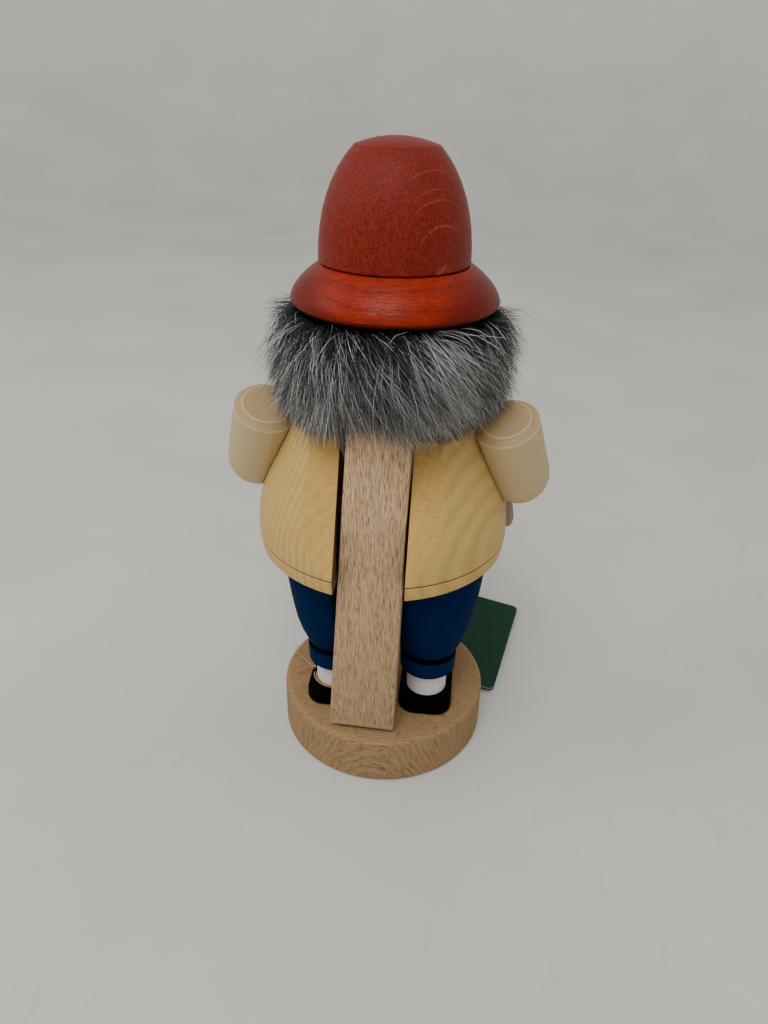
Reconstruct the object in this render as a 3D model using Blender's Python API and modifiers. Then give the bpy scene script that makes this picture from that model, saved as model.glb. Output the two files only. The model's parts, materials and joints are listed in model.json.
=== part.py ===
# Wooden nutcracker figure, turned and sawn from wood, in metres.
# The figure faces -Y, its right hand is on -X, and Z runs up from the table.
# The lever is hinged on a wooden pin through the head and is also the lower jaw.

import math

import bmesh
import bpy
from mathutils import Matrix
from mathutils import Vector

MM = 0.001

# Gap left between pieces that seat on one another
SEAT_GAP = 0.3 * MM

# Round foot, a beech disc
BASE_RADIUS = 45.0 * MM
BASE_HEIGHT = 21.5 * MM
BASE_TOP_ROUNDING = 2.3 * MM
BASE_FOOT_CHAMFER = 1.2 * MM

# Shoes, cut from flat board
SHOE_WIDTH = 22.9 * MM
SHOE_LENGTH = 52.0 * MM
SHOE_HEIGHT = 5.9 * MM
SHOE_HEEL_Y = 26.0 * MM
SHOE_HEEL_CORNER = 7.0 * MM
SHOE_EDGE_ROUNDING = 0.7 * MM

# Socks, short turned rounds between the shoe and the trouser cuff
SOCK_RADIUS = 8.6 * MM
SOCK_HEIGHT = 10.8 * MM

# Trouser legs, turned and widening upwards
LEG_SPACING = 40.0 * MM
LEG_Y = 12.0 * MM
LEG_HEIGHT = 56.1 * MM
LEG_CUFF_RADIUS = 11.8 * MM
LEG_TOP_RADIUS = 20.6 * MM
LEG_SWELL_HEIGHT = 39.0 * MM
LEG_EDGE_ROUNDING = 0.8 * MM
CUFF_GROOVE_HEIGHT = 8.6 * MM
CUFF_GROOVE_WIDTH = 1.2 * MM
CUFF_GROOVE_DEPTH = 0.8 * MM

# Dowels that hold the legs, arms and hat
LEG_DOWEL_RADIUS = 3.0 * MM
LEG_DOWEL_IN_BASE = 12.0 * MM
LEG_DOWEL_IN_LEG = 14.0 * MM
ARM_DOWEL_RADIUS = 2.5 * MM
ARM_DOWEL_IN_JACKET = 8.0 * MM
ARM_DOWEL_IN_ARM = 9.0 * MM
HAT_DOWEL_RADIUS = 4.0 * MM
HAT_DOWEL_IN_HEAD = 8.5 * MM
HAT_DOWEL_IN_CROWN = 10.0 * MM

# Jacket, turned, with a hem groove and a cone of a shoulder, glued off centre
JACKET_X = 2.3 * MM
JACKET_HEIGHT = 54.7 * MM
JACKET_HEM_RADIUS = 49.2 * MM
JACKET_RADIUS = 50.0 * MM
JACKET_BULGE_HEIGHT = 8.7 * MM
JACKET_CONE_HEIGHT = 30.7 * MM
JACKET_CONE_SLOPE = 0.4
JACKET_EDGE_ROUNDING = 0.8 * MM
HEM_GROOVE_HEIGHT = 6.4 * MM
HEM_GROOVE_WIDTH = 0.8 * MM
HEM_GROOVE_DEPTH = 0.5 * MM

# Sawn flat on the jacket's back, leaning in towards the neck
FLAT_Y_AT_BULGE = 47.3 * MM
FLAT_LEAN = 0.43

# Play round the lever in the jacket's slot and in the head's
SLOT_SIDE_PLAY = 0.5 * MM
SLOT_TO_LEVER = 0.7 * MM
MOUTH_SIDE_PLAY = 1.4 * MM

# Head, turned, sawn through above the jaw
HEAD_RADIUS = 28.0 * MM
HEAD_NECK_RADIUS = 27.0 * MM
HEAD_HEIGHT = 40.4 * MM
HEAD_EDGE_ROUNDING = 1.2 * MM
MOUTH_HOLLOW_WIDTH = 18.0 * MM
MOUTH_HOLLOW_LENGTH = 17.0 * MM
MOUTH_HOLLOW_RISE = 8.0 * MM
UPPER_LIP_THICKNESS = 6.0 * MM
RELIEF_CLEARANCE = 0.6 * MM

# Lever and lower jaw, one knee-shaped board
LEVER_LIFT = 2.0 * MM
LEVER_WIDTH_AT_END = 26.9 * MM
LEVER_WIDTH_AT_JAW = 22.0 * MM
LEVER_THICKNESS = 9.0 * MM
LEVER_BACK_Y = 38.7 * MM
JAW_THICKNESS = 13.7 * MM
JAW_FRONT_Y = 27.5 * MM
KNEE_OUTER_RADIUS = 8.0 * MM
KNEE_INNER_RADIUS = 5.0 * MM
LEVER_EDGE_ROUNDING = 0.7 * MM
NUT_DISH_RADIUS = 16.0 * MM
NUT_DISH_DEPTH = 2.2 * MM

# Pivot pin across the head, drilled a little askew, so the handle hangs askew
PIN_RADIUS = 3.0 * MM
PIN_RUNNING_CLEARANCE = 0.08 * MM
PIN_LENGTH = 44.0 * MM
PIN_EDGE_ROUNDING = 0.4 * MM
PIN_X = 0.3 * MM
PIN_Y = 14.0 * MM
PIN_SKEW = math.radians(2.1)
OPENING_ANGLE = math.radians(25.0)

# Beard on the jaw and hair round the head, both of long pile
BEARD_WIDTH = 21.6 * MM
BEARD_THICKNESS = 7.2 * MM
BEARD_LENGTH = 16.0 * MM
BEARD_ROUND_HEIGHT = 8.8 * MM
BEARD_EDGE_ROUNDING = 2.0 * MM
HAIR_RADIUS = 42.5 * MM
HAIR_TOP_RADIUS = 34.5 * MM
HAIR_LENGTH = 31.5 * MM
HAIR_FACE_WIDTH = 50.0 * MM
HAIR_FACE_Y = 12.0 * MM

# Nose, a turned ball on a peg
NOSE_RADIUS = 4.4 * MM
NOSE_PEG_RADIUS = 1.6 * MM
NOSE_PEG_LENGTH = 5.0 * MM
NOSE_HEIGHT = 26.5 * MM

# Hat, a thick rolled brim and a domed crown glued a little off centre
BRIM_RADIUS = 37.0 * MM
BRIM_HEIGHT = 14.0 * MM
BRIM_UNDER_RADIUS = 33.5 * MM
BRIM_WIDEST_HEIGHT = 2.4 * MM
BRIM_SHOULDER_RADIUS = 35.8 * MM
BRIM_SHOULDER_HEIGHT = 7.8 * MM
CROWN_X = 0.6 * MM
CROWN_FOOT_RADIUS = 26.5 * MM
CROWN_HEIGHT = 39.2 * MM
CROWN_EDGE_HEIGHT = 36.5 * MM
CROWN_EDGE_RADIUS = 14.2 * MM
CROWN_SHOULDER_HEIGHT = 23.6 * MM
CROWN_FOOT_CHAMFER = 0.4 * MM

# Arms, a turned upper arm with a round elbow, a forearm and a ball hand
ARM_PAIR_X = 1.4 * MM
ARM_TOP_X = 43.9 * MM
ARM_TOP_Y = 11.9 * MM
ARM_TOP_Z = 154.4 * MM
ARM_LENGTH = 29.3 * MM
ARM_RADIUS = 12.1 * MM
ARM_FACE_RADIUS = 9.0 * MM
ARM_FACE_CHAMFER = 2.2 * MM
ARM_SIDE_LEAN = math.radians(14.9)
ARM_FORWARD_LEAN = math.radians(23.0)
FOREARM_ELBOW_RADIUS = 9.3 * MM
FOREARM_CUFF_RADIUS = 8.2 * MM
FOREARM_EDGE_ROUNDING = 0.6 * MM
HAND_RADIUS = 7.2 * MM
WRIST_SETBACK = 4.6 * MM
HAND_X = 51.5 * MM
HAND_Y = 45.5 * MM
HAND_Z = 119.0 * MM

# Staff in the right hand, flared at its foot
STAFF_FOOT_Z = 79.5 * MM
STAFF_LENGTH = 54.0 * MM
STAFF_RADIUS = 3.0 * MM
STAFF_FOOT_RADIUS = 4.4 * MM
STAFF_FOOT_HEIGHT = 11.0 * MM
STAFF_FOOT_CHAMFER = 0.4 * MM
STAFF_RIM_HEIGHT = 4.4 * MM

# Buttons on the jacket's front, turned domes
BUTTON_RADIUS = 3.0 * MM
BUTTON_RISE = 1.8 * MM
BUTTON_COUNT = 3
BUTTON_SPACING = 8.0 * MM
BUTTON_LOWEST_HEIGHT = 11.5 * MM

# Swing tag, a folded card lying beside the base, on a doubled thread
TAG_LENGTH = 73.0 * MM
TAG_WIDTH = 34.0 * MM
TAG_LEAF = 0.5 * MM
TAG_GAPE = 1.0 * MM
TAG_CORNER = 3.0 * MM
TAG_HOLE_RADIUS = 1.6 * MM
TAG_HOLE_INSET = 3.6 * MM
TAG_CLIP_LENGTH = 22.0 * MM
TAG_CLIP_WIDTH = 26.5 * MM
TAG_X = -51.9 * MM
TAG_Y = -16.2 * MM
TAG_HEADING = math.radians(11.6)
TAG_TILT = math.radians(5.0)
THREAD_RADIUS = 0.7 * MM
KNOT_RADIUS = 1.3 * MM
KNOT_ANGLE = math.radians(-8.0)

# Where the thread leaves the sock and crosses the foot: x, y and lift, in mm
THREAD_CROSSING = (
    (7.2, 6.0, 6.2),
    (4.6, 0.0, 4.2),
    (2.0, -7.0, 1.2),
    (-2.0, -17.0, 0.3),
    (-8.0, -27.0, 0.3),
    (-19.0, -32.0, 0.3),
)

# Heights that follow from the sizes above
SHOE_FLOOR = BASE_HEIGHT + SEAT_GAP
SOCK_FLOOR = SHOE_FLOOR + SHOE_HEIGHT + SEAT_GAP
LEG_FLOOR = SOCK_FLOOR + SOCK_HEIGHT + SEAT_GAP
JACKET_FLOOR = LEG_FLOOR + LEG_HEIGHT + SEAT_GAP
JACKET_TOP = JACKET_FLOOR + JACKET_HEIGHT
JAW_FLOOR = JACKET_TOP
HEAD_FLOOR = JACKET_TOP + SEAT_GAP
JAW_TOP = JAW_FLOOR + JAW_THICKNESS
SKEW_RISE = LEVER_WIDTH_AT_JAW / 2 * math.sin(PIN_SKEW)
MOUTH_ROOF = JAW_TOP + SKEW_RISE + SEAT_GAP
PIN_Z = JAW_FLOOR + JAW_THICKNESS / 2
HEAD_TOP = HEAD_FLOOR + HEAD_HEIGHT
BRIM_FLOOR = HEAD_TOP + SEAT_GAP
CROWN_FLOOR = BRIM_FLOOR + BRIM_HEIGHT + SEAT_GAP
LEVER_FOOT = BASE_HEIGHT + LEVER_LIFT
LEVER_FRONT_Y = LEVER_BACK_Y - LEVER_THICKNESS
SLOT_WALL_Y = LEVER_FRONT_Y - SLOT_TO_LEVER
BEARD_BACK_Y = JAW_FRONT_Y + SEAT_GAP
BEARD_FRONT_Y = BEARD_BACK_Y + BEARD_THICKNESS
BEARD_FLOOR = JAW_TOP - SEAT_GAP - BEARD_LENGTH

# Reach past a face that a cutter leaves through
THROUGH = 20.0 * MM


def swung_height(y, z, angle):
    """Height that a point of the lever side profile reaches at an opening angle."""
    return PIN_Z + (y - PIN_Y) * math.sin(angle) + (z - PIN_Z) * math.cos(angle)


def lever_sides(z):
    """The lever's two side faces at a height, as it hangs askew on its pin."""
    taper = (LEVER_WIDTH_AT_END - LEVER_WIDTH_AT_JAW) / (JAW_TOP - LEVER_FOOT)
    half = (LEVER_WIDTH_AT_JAW + taper * (JAW_TOP - z)) / 2
    middle = PIN_X + (PIN_Z - z) * math.tan(PIN_SKEW)
    return middle - half, middle + half


# The relief behind the mouth clears the knee and the slot clears the beard
SWING_PLAY = RELIEF_CLEARANCE + SKEW_RISE
RELIEF_TOP = swung_height(LEVER_BACK_Y, JAW_TOP, OPENING_ANGLE) + SWING_PLAY
SLOT_FLOOR = swung_height(-BEARD_FRONT_Y, BEARD_FLOOR, OPENING_ANGLE) - SWING_PLAY
SLOT_RIGHT_X = min(lever_sides(JACKET_FLOOR)[0], lever_sides(JACKET_TOP)[0]) - SLOT_SIDE_PLAY
SLOT_LEFT_X = max(lever_sides(JACKET_FLOOR)[1], lever_sides(JACKET_TOP)[1]) + SLOT_SIDE_PLAY
MOUTH_HALF_WIDTH = LEVER_WIDTH_AT_JAW / 2 + abs(PIN_X) + MOUTH_SIDE_PLAY


# Start from an empty scene with one collection for the figure and one for cutters
for old in list(bpy.data.objects):
    bpy.data.objects.remove(old, do_unlink=True)

figure = bpy.data.collections.new("nutcracker_figure")
bpy.context.scene.collection.children.link(figure)
cutters = bpy.data.collections.new("cutters")
bpy.context.scene.collection.children.link(cutters)


def new_material(name, colour, roughness, metallic=0.0):
    """A plain surface of one colour."""
    mat = bpy.data.materials.new(name)
    mat.use_nodes = True
    shader = mat.node_tree.nodes["Principled BSDF"]
    shader.inputs["Base Color"].default_value = (*colour, 1.0)
    shader.inputs["Roughness"].default_value = roughness
    shader.inputs["Metallic"].default_value = metallic
    mat.diffuse_color = (*colour, 1.0)
    return mat


BEECH = new_material("beech", (0.42, 0.27, 0.17), 0.62)
MAPLE = new_material("maple", (0.62, 0.46, 0.22), 0.42)
ARM_WOOD = new_material("arm_wood", (0.56, 0.44, 0.27), 0.5)
HAT_STAIN = new_material("red_stain", (0.39, 0.035, 0.015), 0.35)
TROUSER_PAINT = new_material("navy_paint", (0.006, 0.03, 0.1), 0.5)
SHOE_PAINT = new_material("black_lacquer", (0.008, 0.008, 0.009), 0.25)
SOCK_PAINT = new_material("white_paint", (0.6, 0.58, 0.54), 0.5)
PILE = new_material("grey_pile", (0.16, 0.17, 0.18), 0.8)
CARD = new_material("green_card", (0.012, 0.06, 0.03), 0.6)
GOLD_THREAD = new_material("gold_thread", (0.6, 0.42, 0.14), 0.4, 0.5)
BUTTON_STAIN = new_material("brown_stain", (0.16, 0.07, 0.03), 0.4)


def new_object(name, mesh, mat=None):
    """Put a mesh in the figure, or among the cutters where it has no material."""
    obj = bpy.data.objects.new(name, mesh)
    if mat is None:
        cutters.objects.link(obj)
        obj.hide_render = True
        obj.display_type = "WIRE"
    else:
        figure.objects.link(obj)
        mesh.materials.append(mat)
    return obj


def applied(obj, sharp_above=35.0):
    """Turn an object's modifiers into its mesh, shaded smooth with crisp corners."""
    bpy.context.view_layer.update()
    graph = bpy.context.evaluated_depsgraph_get()
    mesh = bpy.data.meshes.new_from_object(obj.evaluated_get(graph))
    obj.modifiers.clear()
    obj.data = mesh
    mesh.shade_smooth()
    mesh.set_sharp_from_angle(angle=math.radians(sharp_above))
    return obj


def turned(name, profile, mat=None, steps=48):
    """A lathe-turned solid: its profile runs from the top down its outer side."""
    mesh = bpy.data.meshes.new(name)
    points = [(radius, 0.0, height) for radius, height in profile]
    closed = profile[0][0] > 0.0
    edges = [(i, i + 1) for i in range(len(points) - 1)]
    if closed:
        edges.append((len(points) - 1, 0))
    mesh.from_pydata(points, edges, [])
    obj = new_object(name, mesh, mat)
    screw = obj.modifiers.new("turning", "SCREW")
    screw.axis = "Z"
    screw.angle = 2.0 * math.pi
    screw.steps = steps
    screw.render_steps = steps
    screw.use_merge_vertices = True
    screw.merge_threshold = 0.00001
    return applied(obj)


def board(name, outline, thickness, mat=None):
    """A flat outline with thickness, sawn from board, centred on its own plane."""
    curve = bpy.data.curves.new(name, "CURVE")
    curve.dimensions = "2D"
    curve.fill_mode = "BOTH"
    curve.extrude = thickness / 2
    spline = curve.splines.new("POLY")
    spline.points.add(len(outline) - 1)
    for point, (x, y) in zip(spline.points, outline):
        point.co = (x, y, 0.0, 1.0)
    spline.use_cyclic_u = True
    drawn = bpy.data.objects.new(name + "_outline", curve)
    figure.objects.link(drawn)
    bpy.context.view_layer.update()
    graph = bpy.context.evaluated_depsgraph_get()
    mesh = bpy.data.meshes.new_from_object(drawn.evaluated_get(graph))
    bpy.data.objects.remove(drawn, do_unlink=True)
    mesh.materials.clear()
    solid = bmesh.new()
    solid.from_mesh(mesh)
    bmesh.ops.remove_doubles(solid, verts=solid.verts, dist=0.00001)
    bmesh.ops.dissolve_limit(solid, angle_limit=0.001, verts=solid.verts, edges=solid.edges)
    bmesh.ops.recalc_face_normals(solid, faces=solid.faces)
    solid.to_mesh(mesh)
    solid.free()
    return new_object(name, mesh, mat)


def block(name, low, high, mat=None):
    """A box between two corners."""
    mesh = bpy.data.meshes.new(name)
    solid = bmesh.new()
    centre = (Vector(low) + Vector(high)) / 2
    size = Vector(high) - Vector(low)
    place = Matrix.Translation(centre) @ Matrix.Diagonal((*size, 1.0))
    bmesh.ops.create_cube(solid, size=1.0, matrix=place)
    solid.to_mesh(mesh)
    solid.free()
    return new_object(name, mesh, mat)


def rod(name, start, end, radius, mat=None, sides=16, rounding=0.0):
    """A round rod or bore between two points."""
    start = Vector(start)
    end = Vector(end)
    mesh = bpy.data.meshes.new(name)
    solid = bmesh.new()
    turn = Vector((0.0, 0.0, 1.0)).rotation_difference(end - start).to_matrix().to_4x4()
    bmesh.ops.create_cone(
        solid,
        cap_ends=True,
        segments=sides,
        radius1=radius,
        radius2=radius,
        depth=(end - start).length,
        matrix=turn,
    )
    solid.to_mesh(mesh)
    solid.free()
    obj = new_object(name, mesh, mat)
    obj.location = (start + end) / 2
    if rounding > 0.0:
        round_edges(obj, rounding, 1)
    mesh.shade_smooth()
    mesh.set_sharp_from_angle(angle=math.radians(35.0))
    return obj


def ball(name, centre, radius, rings=12, mat=None):
    """A plain sphere."""
    mesh = bpy.data.meshes.new(name)
    solid = bmesh.new()
    bmesh.ops.create_uvsphere(solid, u_segments=2 * rings, v_segments=rings, radius=radius)
    solid.to_mesh(mesh)
    solid.free()
    mesh.shade_smooth()
    obj = new_object(name, mesh, mat)
    obj.location = centre
    return obj


def round_edges(obj, width, segments, angle=35.0):
    """Round an object's edges that are sharper than an angle."""
    bevel = obj.modifiers.new("edges", "BEVEL")
    bevel.width = width
    bevel.segments = segments
    bevel.limit_method = "ANGLE"
    bevel.angle_limit = math.radians(angle)
    bevel.harden_normals = False


def cut(obj, cutter, operation="DIFFERENCE"):
    """Cut an object with another, exactly."""
    modifier = obj.modifiers.new(cutter.name, "BOOLEAN")
    modifier.operation = operation
    modifier.solver = "EXACT"
    modifier.object = cutter


def arc(centre_r, centre_z, radius, start, end, count):
    """Points of a circular arc in a profile, angles in degrees from +r towards +z."""
    points = []
    for i in range(count + 1):
        angle = math.radians(start + (end - start) * i / count)
        points.append((centre_r + radius * math.cos(angle), centre_z + radius * math.sin(angle)))
    return points


def bend(first, middle, last, count):
    """Points of a smooth quadratic curve between two ends."""
    points = []
    for i in range(count + 1):
        t = i / count
        r = (1 - t) ** 2 * first[0] + 2 * t * (1 - t) * middle[0] + t ** 2 * last[0]
        z = (1 - t) ** 2 * first[1] + 2 * t * (1 - t) * middle[1] + t ** 2 * last[1]
        points.append((r, z))
    return points


def both_sides(name):
    """Names and signs of a left piece on +X and a right piece on -X."""
    return ((name + "_left", 1.0), (name + "_right", -1.0))


# Round foot
base_profile = [(0.0, BASE_HEIGHT)]
base_profile += arc(
    BASE_RADIUS - BASE_TOP_ROUNDING, BASE_HEIGHT - BASE_TOP_ROUNDING, BASE_TOP_ROUNDING, 90.0, 0.0, 4
)
base_profile += [(BASE_RADIUS, BASE_FOOT_CHAMFER)]
base_profile += [(BASE_RADIUS - BASE_FOOT_CHAMFER, 0.0)]
base_profile += [(0.0, 0.0)]
base = turned("base", base_profile, BEECH, 56)


# Shoes, socks and the dowels that run from the foot up into the legs
def shoe_outline():
    """Flat heel with round corners and a half-round toe, seen from above."""
    half = SHOE_WIDTH / 2
    toe_y = SHOE_HEEL_Y - SHOE_LENGTH + half
    heel_y = SHOE_HEEL_Y - SHOE_HEEL_CORNER
    side = half - SHOE_HEEL_CORNER
    points = arc(side, heel_y, SHOE_HEEL_CORNER, 0.0, 90.0, 5)
    points += arc(-side, heel_y, SHOE_HEEL_CORNER, 90.0, 180.0, 5)
    points += arc(0.0, toe_y, half, 180.0, 360.0, 12)
    return points


dowel_floor = BASE_HEIGHT - LEG_DOWEL_IN_BASE
dowel_top = LEG_FLOOR + LEG_DOWEL_IN_LEG
for side_name, side in both_sides(""):
    axis_x = side * LEG_SPACING / 2
    bore = rod(
        "leg_bore" + side_name,
        (axis_x, LEG_Y, dowel_floor - SEAT_GAP),
        (axis_x, LEG_Y, dowel_top + SEAT_GAP),
        LEG_DOWEL_RADIUS + SEAT_GAP,
    )
    dowel = rod(
        "leg_dowel" + side_name,
        (axis_x, LEG_Y, dowel_floor),
        (axis_x, LEG_Y, dowel_top),
        LEG_DOWEL_RADIUS,
        BEECH,
    )
    cut(base, bore)
    shoe = board("shoe" + side_name, shoe_outline(), SHOE_HEIGHT, SHOE_PAINT)
    shoe.location = (axis_x, 0.0, SHOE_FLOOR + SHOE_HEIGHT / 2)
    round_edges(shoe, SHOE_EDGE_ROUNDING, 1)
    cut(shoe, bore)
    sock = rod(
        "sock" + side_name,
        (axis_x, LEG_Y, SOCK_FLOOR),
        (axis_x, LEG_Y, SOCK_FLOOR + SOCK_HEIGHT),
        SOCK_RADIUS,
        SOCK_PAINT,
        32,
    )
    cut(sock, bore)


# Trouser legs with a cuff groove, flat where they meet and where the lever hangs
def leg_profile():
    """Turned leg from its top face down to the cuff."""
    top = LEG_HEIGHT
    swell = (LEG_TOP_RADIUS, LEG_SWELL_HEIGHT)
    start = (LEG_TOP_RADIUS, top - LEG_EDGE_ROUNDING)
    end = (LEG_CUFF_RADIUS, LEG_EDGE_ROUNDING)
    curve = bend(start, swell, end, 9)
    groove_top = CUFF_GROOVE_HEIGHT + CUFF_GROOVE_WIDTH / 2
    groove_floor = CUFF_GROOVE_HEIGHT - CUFF_GROOVE_WIDTH / 2
    above = [p for p in curve if p[1] > groove_top + LEG_EDGE_ROUNDING]
    below = [p for p in curve if p[1] < groove_floor - LEG_EDGE_ROUNDING]
    (high_r, high_z), (low_r, low_z) = above[-1], below[0]
    slope = (high_r - low_r) / (high_z - low_z)
    lip_top = low_r + slope * (groove_top - low_z)
    lip_floor = low_r + slope * (groove_floor - low_z)
    points = [(0.0, top), (LEG_TOP_RADIUS - LEG_EDGE_ROUNDING, top)]
    points += above
    points += [(lip_top, groove_top)]
    points += [((lip_top + lip_floor) / 2 - CUFF_GROOVE_DEPTH, CUFF_GROOVE_HEIGHT)]
    points += [(lip_floor, groove_floor)]
    points += below
    points += [(LEG_CUFF_RADIUS - LEG_EDGE_ROUNDING, 0.0), (0.0, 0.0)]
    return points


lever_relief = block(
    "lever_relief",
    (SLOT_RIGHT_X, SLOT_WALL_Y, LEG_FLOOR - THROUGH),
    (lever_sides(LEG_FLOOR)[1] + SLOT_SIDE_PLAY, SLOT_WALL_Y + LEG_SPACING, JACKET_FLOOR),
)
for side_name, side in both_sides(""):
    leg = turned("trouser_leg" + side_name, leg_profile(), TROUSER_PAINT, 28)
    leg.location = (side * LEG_SPACING / 2, LEG_Y, LEG_FLOOR)
    inner = -side * LEG_SPACING
    edge = side * SEAT_GAP / 2
    seam = block(
        "leg_seam" + side_name,
        (min(inner, edge), LEG_Y - LEG_SPACING, LEG_FLOOR - THROUGH),
        (max(inner, edge), LEG_Y + LEG_SPACING, JACKET_FLOOR + THROUGH),
    )
    cut(leg, seam)
    cut(leg, lever_relief)
    cut(leg, bpy.data.objects["leg_bore" + side_name])


# Jacket: turned, sawn flat behind, slotted for the handle and for the jaw
def jacket_curve():
    """Outer side of the jacket from the foot of the shoulder cone to the bulge."""
    bulge_z = JACKET_FLOOR + JACKET_BULGE_HEIGHT
    cone_z = JACKET_FLOOR + JACKET_CONE_HEIGHT
    corner_z = (bulge_z + cone_z) / 2
    cone_r = JACKET_RADIUS - JACKET_CONE_SLOPE * (cone_z - corner_z)
    return bend((cone_r, cone_z), (JACKET_RADIUS, corner_z), (JACKET_RADIUS, bulge_z), 6)


def jacket_radius(height):
    """Radius of the jacket at a height, and how fast it shrinks with height."""
    curve = jacket_curve()
    if height >= curve[0][1]:
        return curve[0][0] - JACKET_CONE_SLOPE * (height - curve[0][1]), JACKET_CONE_SLOPE
    for upper, lower in zip(curve, curve[1:]):
        if height >= lower[1]:
            slope = (lower[0] - upper[0]) / (upper[1] - lower[1])
            return lower[0] - slope * (height - lower[1]), slope
    return JACKET_RADIUS, 0.0


def jacket_profile(grow):
    """Turned jacket from its neck face down to the hem, grown for a cutter."""
    neck_radius = jacket_radius(JACKET_TOP)[0]
    groove_z = JACKET_FLOOR + HEM_GROOVE_HEIGHT
    points = [(0.0, JACKET_TOP + grow)]
    points += [(neck_radius + grow - JACKET_EDGE_ROUNDING, JACKET_TOP + grow)]
    rim_z = JACKET_TOP + grow - JACKET_EDGE_ROUNDING
    points += [(jacket_radius(rim_z)[0] + grow, rim_z)]
    points += [(r + grow, z) for r, z in jacket_curve()]
    if grow == 0.0:
        points += [(JACKET_RADIUS, groove_z + HEM_GROOVE_WIDTH / 2)]
        points += [(JACKET_RADIUS - HEM_GROOVE_DEPTH, groove_z)]
        points += [(JACKET_RADIUS, groove_z - HEM_GROOVE_WIDTH / 2)]
    points += [(JACKET_HEM_RADIUS + grow, JACKET_FLOOR - grow + JACKET_EDGE_ROUNDING)]
    points += [(JACKET_HEM_RADIUS + grow - JACKET_EDGE_ROUNDING, JACKET_FLOOR - grow)]
    points += [(0.0, JACKET_FLOOR - grow)]
    return points


jacket = turned("jacket", jacket_profile(0.0), MAPLE, 60)
jacket.location = (JACKET_X, 0.0, 0.0)

bulge_z = JACKET_FLOOR + JACKET_BULGE_HEIGHT
flat_back = block(
    "flat_back",
    (-JACKET_RADIUS, 0.0, -JACKET_HEIGHT),
    (JACKET_RADIUS, JACKET_RADIUS, JACKET_HEIGHT + THROUGH),
)
flat_back.location = (JACKET_X, FLAT_Y_AT_BULGE, bulge_z)
flat_back.rotation_euler = (math.atan(FLAT_LEAN), 0.0, 0.0)
cut(jacket, flat_back)

handle_slot = block(
    "handle_slot",
    (SLOT_RIGHT_X, SLOT_WALL_Y, JACKET_FLOOR - THROUGH),
    (SLOT_LEFT_X, JACKET_RADIUS + THROUGH, JACKET_TOP + THROUGH),
)
cut(jacket, handle_slot)

jaw_slot = block(
    "jaw_slot",
    (SLOT_RIGHT_X, -JACKET_RADIUS - THROUGH, SLOT_FLOOR),
    (SLOT_LEFT_X, SLOT_WALL_Y + THROUGH, MOUTH_ROOF),
)
cut(jacket, jaw_slot)


# Lever: handle, knee and lower jaw sawn from one board, narrower towards the jaw
def lever_outline():
    """Side view of the lever, y backwards and z up."""
    back = LEVER_BACK_Y
    front = LEVER_FRONT_Y
    points = [(back, LEVER_FOOT)]
    points += arc(back - KNEE_OUTER_RADIUS, JAW_TOP - KNEE_OUTER_RADIUS, KNEE_OUTER_RADIUS, 0.0, 90.0, 6)
    points += [(-JAW_FRONT_Y, JAW_TOP)]
    points += [(-JAW_FRONT_Y, JAW_FLOOR)]
    points += arc(front - KNEE_INNER_RADIUS, JAW_FLOOR - KNEE_INNER_RADIUS, KNEE_INNER_RADIUS, 90.0, 0.0, 4)
    points += [(front, LEVER_FOOT)]
    return points


pivot = bpy.data.objects.new("lever_pivot", None)
figure.objects.link(pivot)
pivot.location = (PIN_X, PIN_Y, PIN_Z)
pivot.rotation_euler = (0.0, -PIN_SKEW, 0.0)
pin_line = Vector((math.cos(PIN_SKEW), 0.0, math.sin(PIN_SKEW)))

lever = board("lever", lever_outline(), LEVER_WIDTH_AT_JAW, BEECH)
lever.data.transform(Matrix(((0, 0, 1, 0), (1, 0, 0, 0), (0, 1, 0, 0), (0, 0, 0, 1))))
for vertex in lever.data.vertices:
    right, left = lever_sides(vertex.co.z)
    vertex.co.x = math.copysign((left - right) / 2, vertex.co.x)
lever.data.transform(Matrix.Translation((0.0, -PIN_Y, -PIN_Z)))
lever.parent = pivot
round_edges(lever, LEVER_EDGE_ROUNDING, 2)

pin = rod(
    "pivot_pin",
    pivot.location - pin_line * PIN_LENGTH / 2,
    pivot.location + pin_line * PIN_LENGTH / 2,
    PIN_RADIUS,
    BEECH,
    32,
    PIN_EDGE_ROUNDING,
)
pin_bore = rod(
    "pin_bore",
    pivot.location - pin_line * (HEAD_RADIUS + THROUGH),
    pivot.location + pin_line * (HEAD_RADIUS + THROUGH),
    PIN_RADIUS + PIN_RUNNING_CLEARANCE,
    None,
    32,
)
cut(lever, pin_bore)

hollow_back_y = -HEAD_RADIUS + UPPER_LIP_THICKNESS + MOUTH_HOLLOW_LENGTH
hollow_middle_y = hollow_back_y - MOUTH_HOLLOW_LENGTH / 2
nut_dish = ball(
    "nut_dish",
    (PIN_X, hollow_middle_y, JAW_TOP + NUT_DISH_RADIUS - NUT_DISH_DEPTH),
    NUT_DISH_RADIUS,
)
cut(lever, nut_dish)


# Head: a turned block over the jaw, hollow above the teeth, bored for pin and dowel
head_profile = [(0.0, HEAD_TOP)]
head_profile += [(HEAD_RADIUS - HEAD_EDGE_ROUNDING, HEAD_TOP)]
head_profile += [(HEAD_RADIUS, HEAD_TOP - HEAD_EDGE_ROUNDING)]
head_profile += [(HEAD_RADIUS, PIN_Z + JAW_THICKNESS / 2)]
head_profile += [(HEAD_NECK_RADIUS, HEAD_FLOOR)]
head_profile += [(0.0, HEAD_FLOOR)]
head = turned("head", head_profile, ARM_WOOD, 48)

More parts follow.
